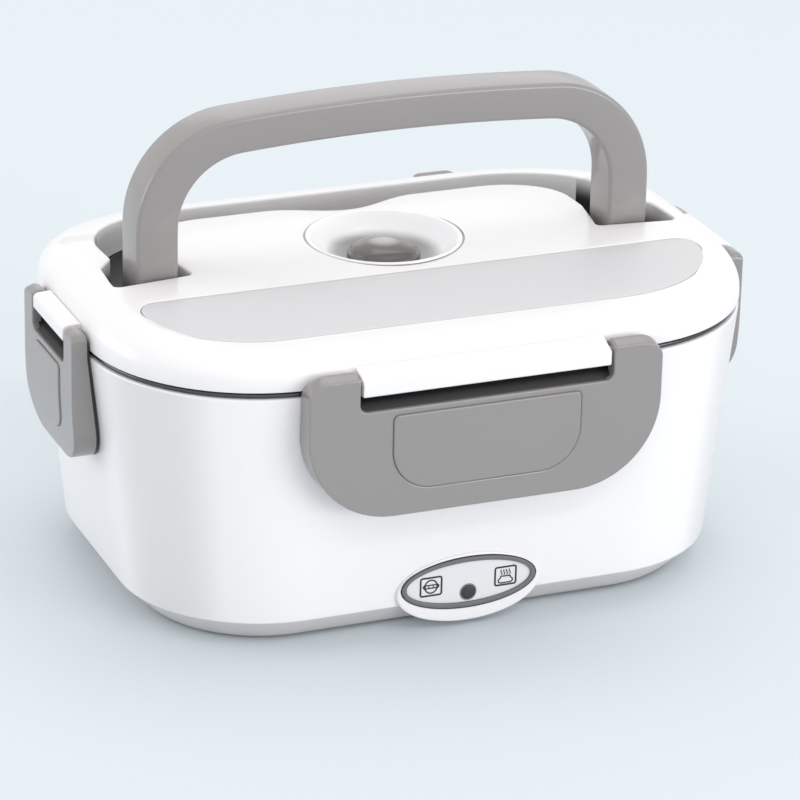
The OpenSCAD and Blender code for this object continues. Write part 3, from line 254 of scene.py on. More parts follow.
# Meshes
class Form:
    """Vertices and faces of a piece. Each method adds to them and returns the form."""

    def __init__(self):
        self.verts, self.faces = [], []

    def add(self, verts, faces):
        first = len(self.verts)
        self.verts += [tuple(map(float, vert)) for vert in verts]
        self.faces += [tuple(i + first for i in face) for face in faces]
        return self

    def skin(self, rings, low_cap=False, high_cap=False):
        """Faces between neighbouring rings of equally many points."""
        n, m = len(rings[0]), len(rings)
        faces = [(j * n + i, j * n + (i + 1) % n, (j + 1) * n + (i + 1) % n, (j + 1) * n + i)
                 for j in range(m - 1) for i in range(n)]
        if low_cap:
            faces.append(tuple(range(n))[::-1])
        if high_cap:
            faces.append(tuple(range((m - 1) * n, m * n)))
        return self.add(np.concatenate(rings), faces)

    def loop(self, rings):
        """A skin whose last ring joins its first one."""
        return self.skin(list(rings) + [rings[0]])

    def region(self, outer, holes, step, place, *at):
        """The area inside outer and outside the holes, filled with a grid of points and set in space."""
        loops = [np.asarray(outer)] + [np.asarray(hole) for hole in holes]
        low, high = loops[0].min(0), loops[0].max(0)
        grid_x, grid_y = np.meshgrid(np.arange(low[0] + step / 2, high[0], step),
                                     np.arange(low[1] + step / 2, high[1], step))
        grid_x[1::2] += step / 2
        grid = np.stack([grid_x.ravel(), grid_y.ravel()], 1)
        grid = grid[within(grid, loops[0], loops[1:])]
        points = rim = np.concatenate(loops)
        if len(grid):
            blocks = np.array_split(grid, max(1, len(grid) // 400))
            near = [np.sqrt(((block[:, None] - rim[None]) ** 2).sum(2)).min(1) for block in blocks]
            points = np.concatenate([rim, grid[np.concatenate(near) > 0.55 * step]])
        edges, first = [], 0
        for loop in loops:
            edges += [(first + i, first + (i + 1) % len(loop)) for i in range(len(loop))]
            first += len(loop)
        found = delaunay_2d_cdt([Vector(point) for point in points], edges, [], 0, 1e-6)
        verts = np.array([tuple(point) for point in found[0]])
        triangles = np.array(found[2])
        good = within(verts[triangles].mean(1), loops[0], loops[1:])
        return self.add(place(verts, *at), [tuple(triangle) for triangle in triangles[good]])

    def spin(self, profile, cx, cy, count=96):
        """A profile of (radius, height) turned round an upright axis."""
        angle = np.linspace(0, 2 * pi, count, endpoint=False)
        return self.skin([flat(np.stack([cx + r * np.cos(angle), cy + r * np.sin(angle)], 1), z)
                          for r, z in profile])

    def bar(self, profile, half_w, edge, steps=3):
        """A profile of (y, z) drawn out to both sides of the middle, with round ends."""
        left = [along_x(offset(profile, s), d - half_w) for s, d in quarter(edge, steps)]
        right = [along_x(offset(profile, s), half_w - d) for s, d in quarter(edge, steps)[::-1]]
        return self.skin(left + right, True, True)

    def box(self, low, high):
        corners = [(x, y, z) for x in (low[0], high[0]) for y in (low[1], high[1])
                   for z in (low[2], high[2])]
        return self.add(corners, [(0, 1, 3, 2), (4, 6, 7, 5), (0, 4, 5, 1), (2, 3, 7, 6), (0, 2, 6, 4),
                                  (1, 5, 7, 3)])


def finish_mesh(made, sharp):
    made.data.shade_smooth()
    made.data.set_sharp_from_angle(angle=radians(sharp))


def piece(name, form, material=None, body=None, stands_for=None, sharp=38, turn=0, reach=0):
    """An object made from a form. It is moved to the front by reach, then turned about the upright axis."""
    angle = radians(turn)
    verts = np.array(form.verts, float) + [0, -reach, 0]
    x, y, z = verts.T
    verts = np.stack([x * cos(angle) - y * sin(angle),
                      x * sin(angle) + y * cos(angle), z], 1)
    mesh = bpy.data.meshes.new(name)
    mesh.from_pydata((verts * MM).tolist(), [], form.faces)
    cleaner = bmesh.new()
    cleaner.from_mesh(mesh)
    bmesh.ops.remove_doubles(cleaner, verts=cleaner.verts, dist=4e-6)
    bmesh.ops.dissolve_degenerate(cleaner, edges=cleaner.edges, dist=1e-7)
    bmesh.ops.recalc_face_normals(cleaner, faces=cleaner.faces)
    cleaner.to_mesh(mesh)
    cleaner.free()
    made = bpy.data.objects.new(name, mesh)
    scene.collection.objects.link(made)
    if material:
        mesh.materials.append(material)
    finish_mesh(made, sharp)
    if body:
        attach(made, body)
    if stands_for:
        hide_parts(stands_for)
    return made


def cut_away(target, forms, sharp=38):
    """Cuts closed forms out of an object."""
    cutters = [piece("cutter", form) for form in forms]
    for cutter in cutters:
        modifier = target.modifiers.new("cut", "BOOLEAN")
        modifier.operation, modifier.solver, modifier.object = "DIFFERENCE", "EXACT", cutter
    bpy.context.view_layer.update()
    evaluated = target.evaluated_get(bpy.context.evaluated_depsgraph_get())
    made = bpy.data.meshes.new_from_object(evaluated)
    made.name = target.data.name
    target.modifiers.clear()
    target.data = made
    for cutter in cutters:
        bpy.data.objects.remove(cutter)
    finish_mesh(target, sharp)


# Materials
def node(tree, kind, inputs, **settings):
    """A new shader node. An input is a value or another node's output."""
    made = tree.nodes.new("ShaderNode" + kind)
    for key, value in settings.items():
        setattr(made, key, value)
    for key, value in inputs.items():
        if isinstance(value, bpy.types.NodeSocket):
            tree.links.new(value, made.inputs[key])
        else:
            made.inputs[key].default_value = value
    return made


def clouds(tree, scale, detail=2.0, squeeze=0.0):
    """Noise from 0 to 1 in the piece's own space, squeezed along Z if asked."""
    place = node(tree, "TexCoord", {}).outputs["Object"]
    if squeeze:
        place = node(tree, "Mapping", {"Vector": place, "Scale": (1, 1, squeeze)}).outputs[0]
    return node(tree, "TexNoise", {"Vector": place, "Scale": scale, "Detail": detail}).outputs["Fac"]


def height(tree):
    """Height in the piece's own space, in metres."""
    return node(tree, "SeparateXYZ", {0: node(tree, "TexCoord", {}).outputs["Object"]}).outputs["Z"]


def facing(tree, angle):
    """How much a surface faces the direction at angle degrees from the front or the back, to either side."""
    normal = node(tree, "NewGeometry", {}).outputs["Normal"]
    either_side = node(tree, "VectorMath", {0: normal}, operation="ABSOLUTE").outputs[0]
    aim = (sin(radians(angle)), cos(radians(angle)), 0)
    return node(tree, "VectorMath", {0: either_side, 1: aim}, operation="DOT_PRODUCT").outputs["Value"]


def ease(tree, value, low, high):
    """A soft step from 0 to 1 while value goes from low to high."""
    limits = {"Value": value, "From Min": low, "From Max": high}
    return node(tree, "MapRange", limits, interpolation_type="SMOOTHSTEP").outputs[0]


def mixed(tree, share, first, second):
    """A colour that goes from first to second while share goes from 0 to 1."""
    return node(tree, "Mix", {0: share, 6: first, 7: second}, data_type="RGBA").outputs[2]


def plastic(name, color, rough=0.35, coat=0.0, transmission=0.0, ior=1.49, metal=0.0, spread=0.03,
            grain=900.0, bump=0.02, tint=0.015, squeeze=0.0, fade=None, band=None):
    """Moulded or metal surface: slight clouds in the colour, uneven roughness and a fine grain.

    fade is (height, height, color): the color below the first height, and none of it above the second; it
    paints shade or light that changes with height.
    band is (angle, limit, color): a soft band of painted shade on the upright corners that face about that
    direction.
    """
    material = bpy.data.materials.new(name)
    material.use_nodes = True
    tree = material.node_tree
    tree.nodes.clear()
    darker, lighter = [max(0, c * (1 - tint)) for c in color], [min(1, c * (1 + tint)) for c in color]
    surface = mixed(tree, clouds(tree, 22.0, 3.0), (*darker, 1), (*lighter, 1))
    if fade:
        surface = mixed(tree, ease(tree, height(tree), fade[0] * MM, fade[1] * MM), (*fade[2], 1), surface)
    if band:
        surface = mixed(tree, ease(tree, facing(tree, band[0]), 0.999, band[1]), (*band[2], 1), surface)
    unevenness = node(tree, "MapRange", {"Value": clouds(tree, 60.0, 4.0, squeeze),
                                         "To Min": max(0.02, rough - spread),
                                         "To Max": min(1, rough + spread)})
    relief = node(tree, "Bump", {"Strength": bump, "Distance": 0.0002,
                                 "Height": clouds(tree, grain, 2.0, squeeze)})
    shader = node(tree, "BsdfPrincipled", {
        "Base Color": surface, "Roughness": unevenness.outputs[0], "Normal": relief.outputs[0],
        "Metallic": metal, "IOR": ior, "Transmission Weight": transmission, "Coat Weight": coat,
        "Coat Roughness": 0.08})
    node(tree, "OutputMaterial", {0: shader.outputs[0]})
    return material


# White plastic of the lid; of the body, whose upright corners carry a soft band of painted shade; of the deep
# pockets beside the handle, painted darker towards the bottom as shade; and of the inside
WHITE = plastic("white_plastic", (0.85, 0.835, 0.84), 0.26, coat=0.15, grain=500, bump=0.015)
# Painted shade: a soft darker band on the body's upright corners that face about 56 degrees from front or
# back.
BODY = plastic("white_body_corner_shade", (0.85, 0.835, 0.84), 0.26, coat=0.15, grain=500, bump=0.015,
               band=(56.0, 0.90, (0.72, 0.707, 0.712)))
# Painted shade: the pockets' plastic turns near black towards the bottom of the handle's channel.
POCKET_SHADE = plastic("pocket_painted_shade", (0.82, 0.82, 0.83), 0.45, grain=700, bump=0.03,
                 fade=(99.5, 109.5, (0.01, 0.01, 0.011)))
WHITE_IN = plastic("white_inner", (0.78, 0.78, 0.79), 0.4, grain=700, bump=0.03)
# Grey plastic of handle and latches; near-black painted shadow in the coves under the latches' hinge bars;
# and the base band
GREY = plastic("grey_plastic", (0.268, 0.251, 0.247), 0.32, coat=0.5, grain=1300, bump=0.06, tint=0.02)
# Painted shadow: near black high in the cove under the hinge bar, lighter low down where light reaches.
SHADE = plastic("grey_painted_shadow", (0.004, 0.004, 0.004), 0.6, ior=1.2, grain=1300, bump=0.06,
                fade=(87.2, 89.8, (0.085, 0.081, 0.079)))
BASE = plastic("base_plastic", (0.66, 0.635, 0.63), 0.42, grain=1300, bump=0.05)
# Metals
STEEL = plastic("brushed_steel", (0.62, 0.63, 0.65), 0.22, metal=1.0, spread=0.08, grain=700, bump=0.03,
                squeeze=14.0)
# Painted shade: a near-black copy of the steel for the rolled rim, so it shows as a dark seam between body
# and lid.
ROLL_SHADE = plastic("rolled_steel_shade", (0.10, 0.10, 0.105), 0.25, metal=1.0, spread=0.05, grain=700, bump=0.02)
PLAIN = plastic("plain_steel", (0.5, 0.5, 0.52), 0.32, metal=1.0, spread=0.06)
ALU = plastic("aluminium", (0.7, 0.71, 0.72), 0.38, metal=1.0, spread=0.08, grain=300, bump=0.05)
# Clear and frosted plastic, rubber and silicone
FROST = plastic("frosted_plastic", (0.805, 0.8, 0.81), 0.42, transmission=0.25, spread=0.04,
                grain=1600, bump=0.10)
# Painted shade: the vent bowl's plastic turns dark towards the bottom of the bowl.
CLEAR = plastic("clear_plastic", (0.93, 0.93, 0.94), 0.14, transmission=0.05, spread=0.04, bump=0.01,
                fade=(102.6, 105.6, (0.2, 0.192, 0.187)))
# Painted light: the plug's dome is lighter on its cap as a painted reflection, and darker below as painted
# shade.
DOME = plastic("dome_painted_light", (0.50, 0.49, 0.48), 0.16, transmission=0.1, spread=0.04, bump=0.008,
               fade=(107.9, 108.6, (0.165, 0.155, 0.147)))
RUBBER = plastic("rubber", (0.05, 0.05, 0.055), 0.7, grain=2000, bump=0.2)
SILICONE = plastic("silicone", (0.6, 0.61, 0.62), 0.5, transmission=0.1, grain=900, bump=0.04)
# Indicator
RING = plastic("bezel_plastic", (0.15, 0.15, 0.153), 0.42, bump=0.02)
# Black for the line round the bezel, and painted shade for the gap along each side latch's edge.
LINE = plastic("black_line_and_gap_shade", (0.012, 0.012, 0.014), 0.35)
PANEL = plastic("panel_film", (0.74, 0.74, 0.75), 0.34, grain=1800, bump=0.03)
INK = plastic("sign_ink", (0.02, 0.02, 0.023), 0.5)
LAMP = plastic("lamp_lens", (0.035, 0.035, 0.037), 0.45)
COLLAR = plastic("lamp_collar", (0.22, 0.22, 0.225), 0.4)
# Electrical parts
DARK = plastic("inlet_plastic", (0.03, 0.03, 0.033), 0.42, grain=1300, bump=0.08)
BOARD = plastic("board", (0.02, 0.11, 0.045), 0.45)
WIRE = plastic("wire_sleeve", (0.42, 0.03, 0.02), 0.5)
FUSE = plastic("fuse_case", (0.55, 0.47, 0.25), 0.4)

SLOT_LOOK = dict(white_shell=WHITE, grey_base=BASE, grey_plastic=GREY, inner_white=WHITE_IN,
                 clear_plastic=CLEAR, frosted_plastic=FROST, silicone=SILICONE, dark_rubber=RUBBER,
                 stainless=STEEL, plain_steel=PLAIN, aluminium=ALU, dark_plastic=DARK, dark_ring=RING,
                 panel_light=PANEL, lamp=LAMP, board_green=BOARD, wire_red=WIRE, fuse_case=FUSE)
for row in frame["record"]["materials"]:
    for label in row.get("nodes", []):
        slots = frame["nodes"][label].data.materials
        slots.clear()
        slots.append(SLOT_LOOK[row["slot"]])


# Body
def body_shell():
    """White shell with a rolled rim and a hole for the inlet."""
    outside = [(BASE_H, 0.55), (BASE_H + 0.15, 0.2), (BASE_H + 0.5, 0.02)]
    outside += [(z, 0.0) for z in np.linspace(BASE_H + 1, RIM_Z - 0.9, 24)]
    outside += [(RIM_Z - d, -s) for s, d in quarter(0.8, 4)[::-1]]
    inner = [(z, WALL) for z in (RIM_Z, RIM_Z - 2.5, RIM_Z - 8, BASE_H)]
    form = Form().loop([body_ring(z, inset) for z, inset in outside + inner])
    shell = piece("body_shell", form, BODY, "base", "outer_shell")
    hole = rectangle(INLET_W / 2 + 0.2, INLET_H / 2 + 0.2, 0.4)
    cut_away(shell, [Form().skin([upright(hole, y, INLET_Z) for y in (60, 90)], True, True)])


def inlet_pad():
    """Raised frame round the power inlet."""
    pad = rectangle(INLET_W / 2 + 2.4, INLET_H / 2 + 2.4, 3.2, 10)
    hole = rectangle(INLET_W / 2 + 0.2, INLET_H / 2 + 0.2, 0.4, 10)
    root = PAD_Y - 3.5
    rings = [(pad, root)] + [(offset(pad, s), PAD_Y - d) for s, d in quarter(0.7)[::-1]]
    rings += [(offset(hole, -s), PAD_Y - d) for s, d in quarter(0.3, 3)] + [(hole, root)]
    form = Form().skin([upright(outline, y, INLET_Z) for outline, y in rings])
    piece("inlet_pad", form, WHITE, "base")


def apron_ring(grow, depth):
    return upright(ellipse(APRON_A + grow, APRON_B + grow, 160), APRON_Y + depth, APRON_Z)


def dial_ring(grow, depth, count=160):
    return upright(ellipse(DIAL_A + grow, DIAL_B + grow, count), APRON_Y + depth, DIAL_Z)


def indicator_apron():
    """Hood round the indicator, with a thin edge above and a deep lip below."""
    rings = [dial_ring(0, 2.2), dial_ring(0, 0.12), dial_ring(0.1, 0)]
    rings += [apron_ring(s, d) for s, d in quarter(0.8, 6)]
    rings += [apron_ring(0, depth) for depth in (2, 4, 10)]
    rings += [apron_ring(-1.8, 10), apron_ring(-1.8, 2.2)]
    piece("indicator_apron", Form().loop(rings), WHITE, "base", sharp=50)


def base_band():
    """Light grey band and bottom, with its screw wells."""
    foot_r = 2.6
    rings = [base_ring(BASE_H, 2.6), base_ring(BASE_H, 0.5)]
    rings += [base_ring(z, 0.5 * (z - FOOT_Z) / (BASE_H - FOOT_Z))
              for z in np.linspace(BASE_H - 0.5, FOOT_Z + 1.0, 7)]
    for x in degrees(47, 0, 6):
        ring = base_ring(FOOT_Z, 1.13 - foot_r * sin(x))
        ring[:, 2] = FOOT_Z + foot_r * (1 - cos(x))
        rings.append(ring)
    wells = [ellipse(WELL_R, WELL_R, 40) + [i * SCREW_X, j * SCREW_Y] for i in (-1, 1) for j in (-1, 1)]
    form = Form().skin(rings)
    form.region(rings[-1][:, :2], [offset(well, 0.3) for well in wells], 8, flat, FOOT_Z)
    for well in wells:
        mouth = [flat(offset(well, -s), FOOT_Z + d) for s, d in quarter(0.3, 3)]
        form.skin(mouth + [flat(well, SCREW_SEAT)], False, True)
    piece("base_band", form, BASE, "base", "base_cover")


def feet():
    """Four rubber feet, each with a groove in its sole."""
    profile = [(0.01, 0.0), (3.4, 0.0), (3.7, 0.15), (4.0, 0.15), (4.3, 0.0), (5.4, 0.0), (5.8, 0.15),
               (FOOT_R, 0.5), (FOOT_R, 1.8)]
    form = Form()
    for i in (-1, 1):
        for j in (-1, 1):
            form.spin(profile, i * FOOT_X, j * FOOT_Y, 48)
    piece("feet", form, RUBBER, "base", "rubber_feet")


def liner():
    """Inner tub of the body."""
    foot_r, deep = 4, RIM_Z - LINER_FLOOR
    path = [(RIM_Z - 2.4, FLANGE_IN), (RIM_Z - 0.2, FLANGE_IN), (RIM_Z, FLANGE_IN + 0.2)]
    path += [(RIM_Z - d, LINER_IN + s) for s, d in quarter(0.8, 4)]
    path += [(RIM_Z - h, LINER_IN + LINER_DRAFT * h / deep) for h in np.linspace(foot_r, deep - foot_r, 6)]
    path += bend(LINER_FLOOR, LINER_IN + LINER_DRAFT, foot_r, 75, 0, 6)
    path += [(LINER_FLOOR, 28.0)]
    form = Form().skin([body_ring(z, inset) for z, inset in path], False, True)
    piece("liner_skin", form, WHITE_IN, "base", "inner_liner")


def pan_side(z):
    """How far inside the body's outline the container's inner side is at height z."""
    return SHEET_IN + PAN_DRAFT * (RIM_Z - z) / (RIM_Z - PAN_FLOOR)


def container():
    """Steel container: its under side, its flange and its upper side in one closed skin."""
    foot, top = SHEET_IN + PAN_DRAFT, RIM_Z + SHEET_T
    path = [(PAN_FLOOR, foot + 30), (PAN_FLOOR, foot + 12)]
    path += bend(PAN_FLOOR, foot, PAN_BEND, 0, 86, 8)
    path += [(z, pan_side(z)) for z in np.linspace(PAN_FLOOR + PAN_BEND + 2, RIM_Z - 0.6, 10)]
    path += [(RIM_Z - 0.1, SHEET_IN - 0.5), (RIM_Z, SHEET_IN - 1), (RIM_Z, 2.2), (top, 2.2),
             (top, SHEET_IN - 0.6)]
    path += [(top - 1.2 * (1 - cos(x)), SHEET_IN - 0.6 + 1.2 * sin(x) + SHEET_T * 0.2)
             for x in degrees(15, 90, 6)]
    path += [(z, pan_side(z) + SHEET_T) for z in np.linspace(RIM_Z - 3, PAN_FLOOR + PAN_BEND + 2, 10)]
    path += bend(PAN_FLOOR + SHEET_T, foot + SHEET_T, PAN_BEND, 86, 0, 8)
    path += [(PAN_FLOOR + SHEET_T, foot + 12), (PAN_FLOOR + SHEET_T, foot + 30)]
    form = Form().skin([body_ring(z, inset) for z, inset in path], True, True)
    piece("container_skin", form, STEEL, "container", "steel_container", sharp=50)


def container_rim():
    """Rolled rim in near-black steel, painted shade that shows as a dark line between body and lid."""
    form = Form().loop([body_ring(RIM_Z + 0.95 + 0.78 * sin(x), 1.75 - 0.75 * cos(x))
                        for x in np.radians(np.arange(0, 360, 20))])
    piece("container_rim", form, ROLL_SHADE, "container", sharp=60)


for make in (body_shell, inlet_pad, indicator_apron, base_band, feet, liner, container, container_rim):
    make()


# Lid
def mirrored(parts):
    """Stretches of an outline, each with a corner radius, on the other side and in reverse."""
    return [(np.array(points, float)[::-1] * [-1, 1], radius) for points, radius in reversed(parts)]


def channel_outline():
    """The handle's channel, with a pocket for each leg and the finger scoop."""
    side, corner_y, r = PLATFORM_HW, CHANNEL_REAR - HANDLE_R, HANDLE_R + 1.8
    scoop_x = np.linspace(-SCOOP_HW, SCOOP_HW, 41)
    scoop_y = PLATFORM_Y - SCOOP * (0.5 + 0.5 * np.cos(pi * scoop_x / SCOOP_HW))
    outer = [([(POCKET_X + 1.6, CHANNEL_Y - 1.8)], 2.2), ([(POCKET_X, POCKET_Y)], 2.4),
             ([(CHANNEL_X, NECK_Y)], 5.0), (arc(HANDLE_HW - HANDLE_R, corner_y, r, r, 0, 90, 28), 0)]
    inner = [(arc(side - PLATFORM_R, PLATFORM_Y - PLATFORM_R, PLATFORM_R, PLATFORM_R, 90, 0, 24), 0),
             ([(side, 12.0)], 3.0), ([(side - 3.58, CHANNEL_Y + 1.4)], 1.8)]
    parts = outer + mirrored(outer) + mirrored(inner) + [(np.column_stack([scoop_x, scoop_y]), 0)] + inner
    points = np.concatenate([np.asarray(part, float) for part, _ in parts])
    radii = sum([[radius] * len(part) for part, radius in parts], [])
    return densify(soften(points, radii), 3.0)


def window_outline(grow=0.0):
    """The cutlery window: straight at the rear, with wide elliptic corners at the front."""
    half_w, side_y, r = WINDOW_HW + grow, -(WINDOW_REAR + WINDOW_R), WINDOW_R + grow
    rx, ry = WINDOW_W + grow, WINDOW_FRONT - WINDOW_REAR - WINDOW_R + grow
    points = np.concatenate([arc(half_w - r, side_y, r, r, 0, 90, 12),
                             arc(r - half_w, side_y, r, r, 90, 180, 12),
                             arc(rx - half_w, side_y, rx, ry, 180, 270, 26),
                             arc(half_w - rx, side_y, rx, ry, 270, 360, 26)])
    keep = np.linalg.norm(points - np.roll(points, 1, 0), axis=1) > 1e-6
    return densify(points[keep], 3.0)


def vent_outline(r, count=96):
    return ellipse(r, r, count) + [0, VENT_Y]


def lid_side():
    """Rings of the lid's side, from inside the skirt over the shoulder to the crowned top."""
    skirt = [(FLANGE_Z + 0.8, LID_WALL), (SKIRT_Z + 0.3, LID_WALL), (SKIRT_Z, LID_WALL - 0.3),
             (SKIRT_Z, 0.45), (SKIRT_Z + 0.13, 0.13), (SKIRT_Z + 0.45, 0.0)]
    rings = [flat(lid_outline(inset), z) for z, inset in skirt]
    here, top = lid_outline(0), lid_outline(EDGE_R)
    top_z = LID_Z - crown(top[:, 1])
    slope = top[:, 1] / np.sqrt(CROWN_R ** 2 - top[:, 1] ** 2) * unit(here - top)[:, 1]
    k = 0.56
    for t in np.linspace(0, 1, 19):
        c0, c1, c2, c3 = (1 - t) ** 3, 3 * t * (1 - t) ** 2, 3 * t * t * (1 - t), t ** 3
        inset = EDGE_R * (c2 * (1 - k) + c3)
        z = (SHOULDER_Z * c0 + (SHOULDER_Z + k * (top_z - SHOULDER_Z)) * c1 +
             (top_z - slope * k * EDGE_R) * c2 + top_z * c3)
        rings.append(np.column_stack([lid_outline(inset), z]))
    return rings


def recess(form, outline, edge, walls):
    """A recess in the lid's top with a round edge. Its walls are rings of the given shapes."""
    form.skin([crowned(offset(outline, -s), d) for s, d in quarter(edge)] + walls)


def lid_shell():
    """White lid with the handle's channel, the cutlery window and the seat of the vent."""
    channel, window, seat = channel_outline(), window_outline(), vent_outline(VENT_R + 0.1)
    edge, floor_z, seat_z = 0.9, CHANNEL_Z + 0.02, 108.82
    form = Form().skin(lid_side())
    form.region(lid_outline(EDGE_R), [offset(channel, edge), offset(window, 0.35), seat], 3.2, crowned)
    foot = [(0.1, 0.65), (0.38, 0.25), (1.0, 0.02)]
    recess(form, channel, edge, [flat(channel, z) for z in (103.6, 98, CHANNEL_Z + 1.2)] +
           [flat(offset(channel, -inset), CHANNEL_Z + rise) for inset, rise in foot])
    form.region(offset(channel, -1.0), [], 6, flat, floor_z)
    ledge = offset(window, -2.4)
    recess(form, window, 0.35, [crowned(window, 1.6), crowned(window, WINDOW_T + 0.3),
                                crowned(ledge, WINDOW_T + 0.3), flat(ledge, 101.9)])
    form.skin([crowned(seat), flat(seat, seat_z), flat(vent_outline(VENT_IN), seat_z),
               flat(vent_outline(VENT_IN), 100)])
    lid = piece("lid_skin", form, WHITE, "lid", "lid_shell", sharp=50)
    # Painted shade: the channel's floor and the lower walls of the pockets get the pocket plastic, which
    # darkens towards the bottom.
    lid.data.materials.append(POCKET_SHADE)
    for face in lid.data.polygons:
        x, y, z = face.center / MM
        in_channel = abs(x) < 104 and -13 < y < 66 and z < 108.5
        if in_channel and (z < 94.5 or 70 < abs(x) and y < 44):
            face.material_index = 1


# Long latches at front and rear, short ones at the sides. Each is drawn as the front one, with the body's
# outside at depth 0, and is then moved out and turned
LONG = SimpleNamespace(hw=62.0, notch=44.5, ear=3.8, low_r=30.0, low=49.7, catch=28.0, reach=BODY_D / 2,
                       draft=DRAFT_Y, bend=0.0, corner=7.0, cove_top=90.8, drop=1.6, bar_low=92.5,
                       brow_z=97.6, brow_r=1.2, relief=1.2)
SHORT = SimpleNamespace(hw=26.0, notch=17.0, ear=3.0, low_r=15.0, low=52.4, catch=9.5, reach=BODY_W / 2,
                        draft=DRAFT_X, bend=2.3, corner=2.6, cove_top=93.3, drop=1.3, bar_low=94.9,
                        brow_z=100.3, brow_r=1.8, relief=0.2)
LATCHES = [("front", LONG, 0), ("right", SHORT, 90), ("rear", LONG, 180), ("left", SHORT, 270)]


def front_y(kind):
    """Depth of a latch's front."""
    return -GAP - 2 * kind.ear


def hinge_bar(name, kind, turn):
    """Bar of the lid between a latch's ears, with a crease where it leaves the lid."""
    points = [(front_y(kind), kind.bar_low), (-GAP, kind.bar_low), (-GAP, SKIRT_Z), (1.4, SKIRT_Z),
              (1.4, 99.0), (1.35, 99.2), (0.65, 99.2), (-0.3, 100.75), (front_y(kind), kind.brow_z)]
    radii = [0.9, 0.2, 0.2, 0.1, 0.1, 0.1, 0.2, 0.55, kind.brow_r]
    form = Form().bar(densify(soften(points, radii, 6), 2.0), kind.notch - 1.0, 0.5, 4)
    piece("hinge_bar_" + name, form, WHITE, "lid", turn=turn, reach=kind.reach, sharp=45)


def lid_liner():
    """Under side of the lid, with the bore of the steam channel."""
    path = [(FLANGE_Z, LID_WALL + 0.1), (FLANGE_Z, PLUG_IN), (FLANGE_Z - 1, PLUG_IN), (PLUG_Z + 1.6, PLUG_IN)]
    path += bend(PLUG_Z, PLUG_IN, 1.2, 90, 0, 6)
    path += [(PLUG_Z, 20), (PLUG_Z, 20.4), (PLUG_Z + 0.8, 21.2), (PLUG_Z + 0.8, 24)]
    bore = vent_outline(STEAM_R, 48)
    form = Form().skin([flat(lid_outline(inset), z) for z, inset in path])
    form.region(lid_outline(24), [bore], 9, flat, PLUG_Z + 0.8)
    form.skin([flat(bore, PLUG_Z + 0.8), flat(bore, STEAM_Z)])
    piece("plug_skin", form, WHITE_IN, "lid", "lid_liner")


def lid_seal():
    """Silicone ring with two lips."""
    path = [(3.0, FLANGE_Z + 0.2), (3.0, 93.5), (3.25, 93.1), (3.8, 92.9), (4.4, 93.0), (5.2, 93.35),
            (6.0, 93.0), (6.6, 92.9), (7.15, 93.1), (7.4, 93.5), (7.4, FLANGE_Z + 0.2)]
    form = Form().skin([flat(lid_outline(inset), z) for inset, z in path])
    piece("seal_skin", form, SILICONE, "lid", "lid_seal", sharp=60)


def cutlery_tray():
    """Tray under the window, with a rib across it."""
    tray, rim = window_outline(-4.2), window_outline(-2.6)
    wall_low, foot_r, floor_z = 96.4, 3, 92.95
    rings = [crowned(rim, 6), crowned(rim, 2.1), crowned(offset(rim, -0.2), 1.92),
             crowned(offset(tray, 0.2), 1.92), crowned(tray, 2.1), flat(tray, 100), flat(tray, wall_low)]
    rings += [flat(offset(tray, -foot_r * (1 - cos(x))), wall_low - 3.45 * sin(x))
              for x in degrees(15, 90, 6)]
    form = Form().skin(rings)
    form.region(offset(tray, -foot_r), [], 8, flat, floor_z)
    rib = block(-21, -58, -18.4, -46, [1.0] * 4, 6)
    form.skin([flat(rib, 92.9), flat(rib, 104.3)] +
              [flat(offset(rib, s), 104.9 - d) for s, d in quarter(0.5, 3)[::-1]], False, True)
    piece("tray_skin", form, WHITE_IN, "lid", "cutlery_tray", sharp=45)


def cutlery_cover():
    """Frosted cover of the tray, crowned like the lid, with its hinge barrel along the rear edge."""
    cover = window_outline(-0.3)
    cover[cover[:, 1] > BARREL_Y, 1] = BARREL_Y
    cover = cover[np.linalg.norm(cover - np.roll(cover, 1, 0), axis=1) > 1e-3]
    path = [(-0.5, WINDOW_T), (-0.3, WINDOW_T), (0, WINDOW_T - 0.3), (0, 0.35)] + quarter(0.35, 4)[::-1]
    form = Form().skin([crowned(offset(cover, grow), drop) for grow, drop in path])
    form.region(offset(cover, -0.35), [], 4, crowned)
    form.region(offset(cover, -0.5), [], 6, crowned, WINDOW_T)
    barrel_z = LID_Z - crown(BARREL_Y) - BARREL_R
    form.bar(ellipse(BARREL_R, BARREL_R, 28) + [BARREL_Y, barrel_z], BARREL_HW, 0.35)
    piece("cover_skin", form, FROST, "cutlery_cover", "cutlery_cover", sharp=45)


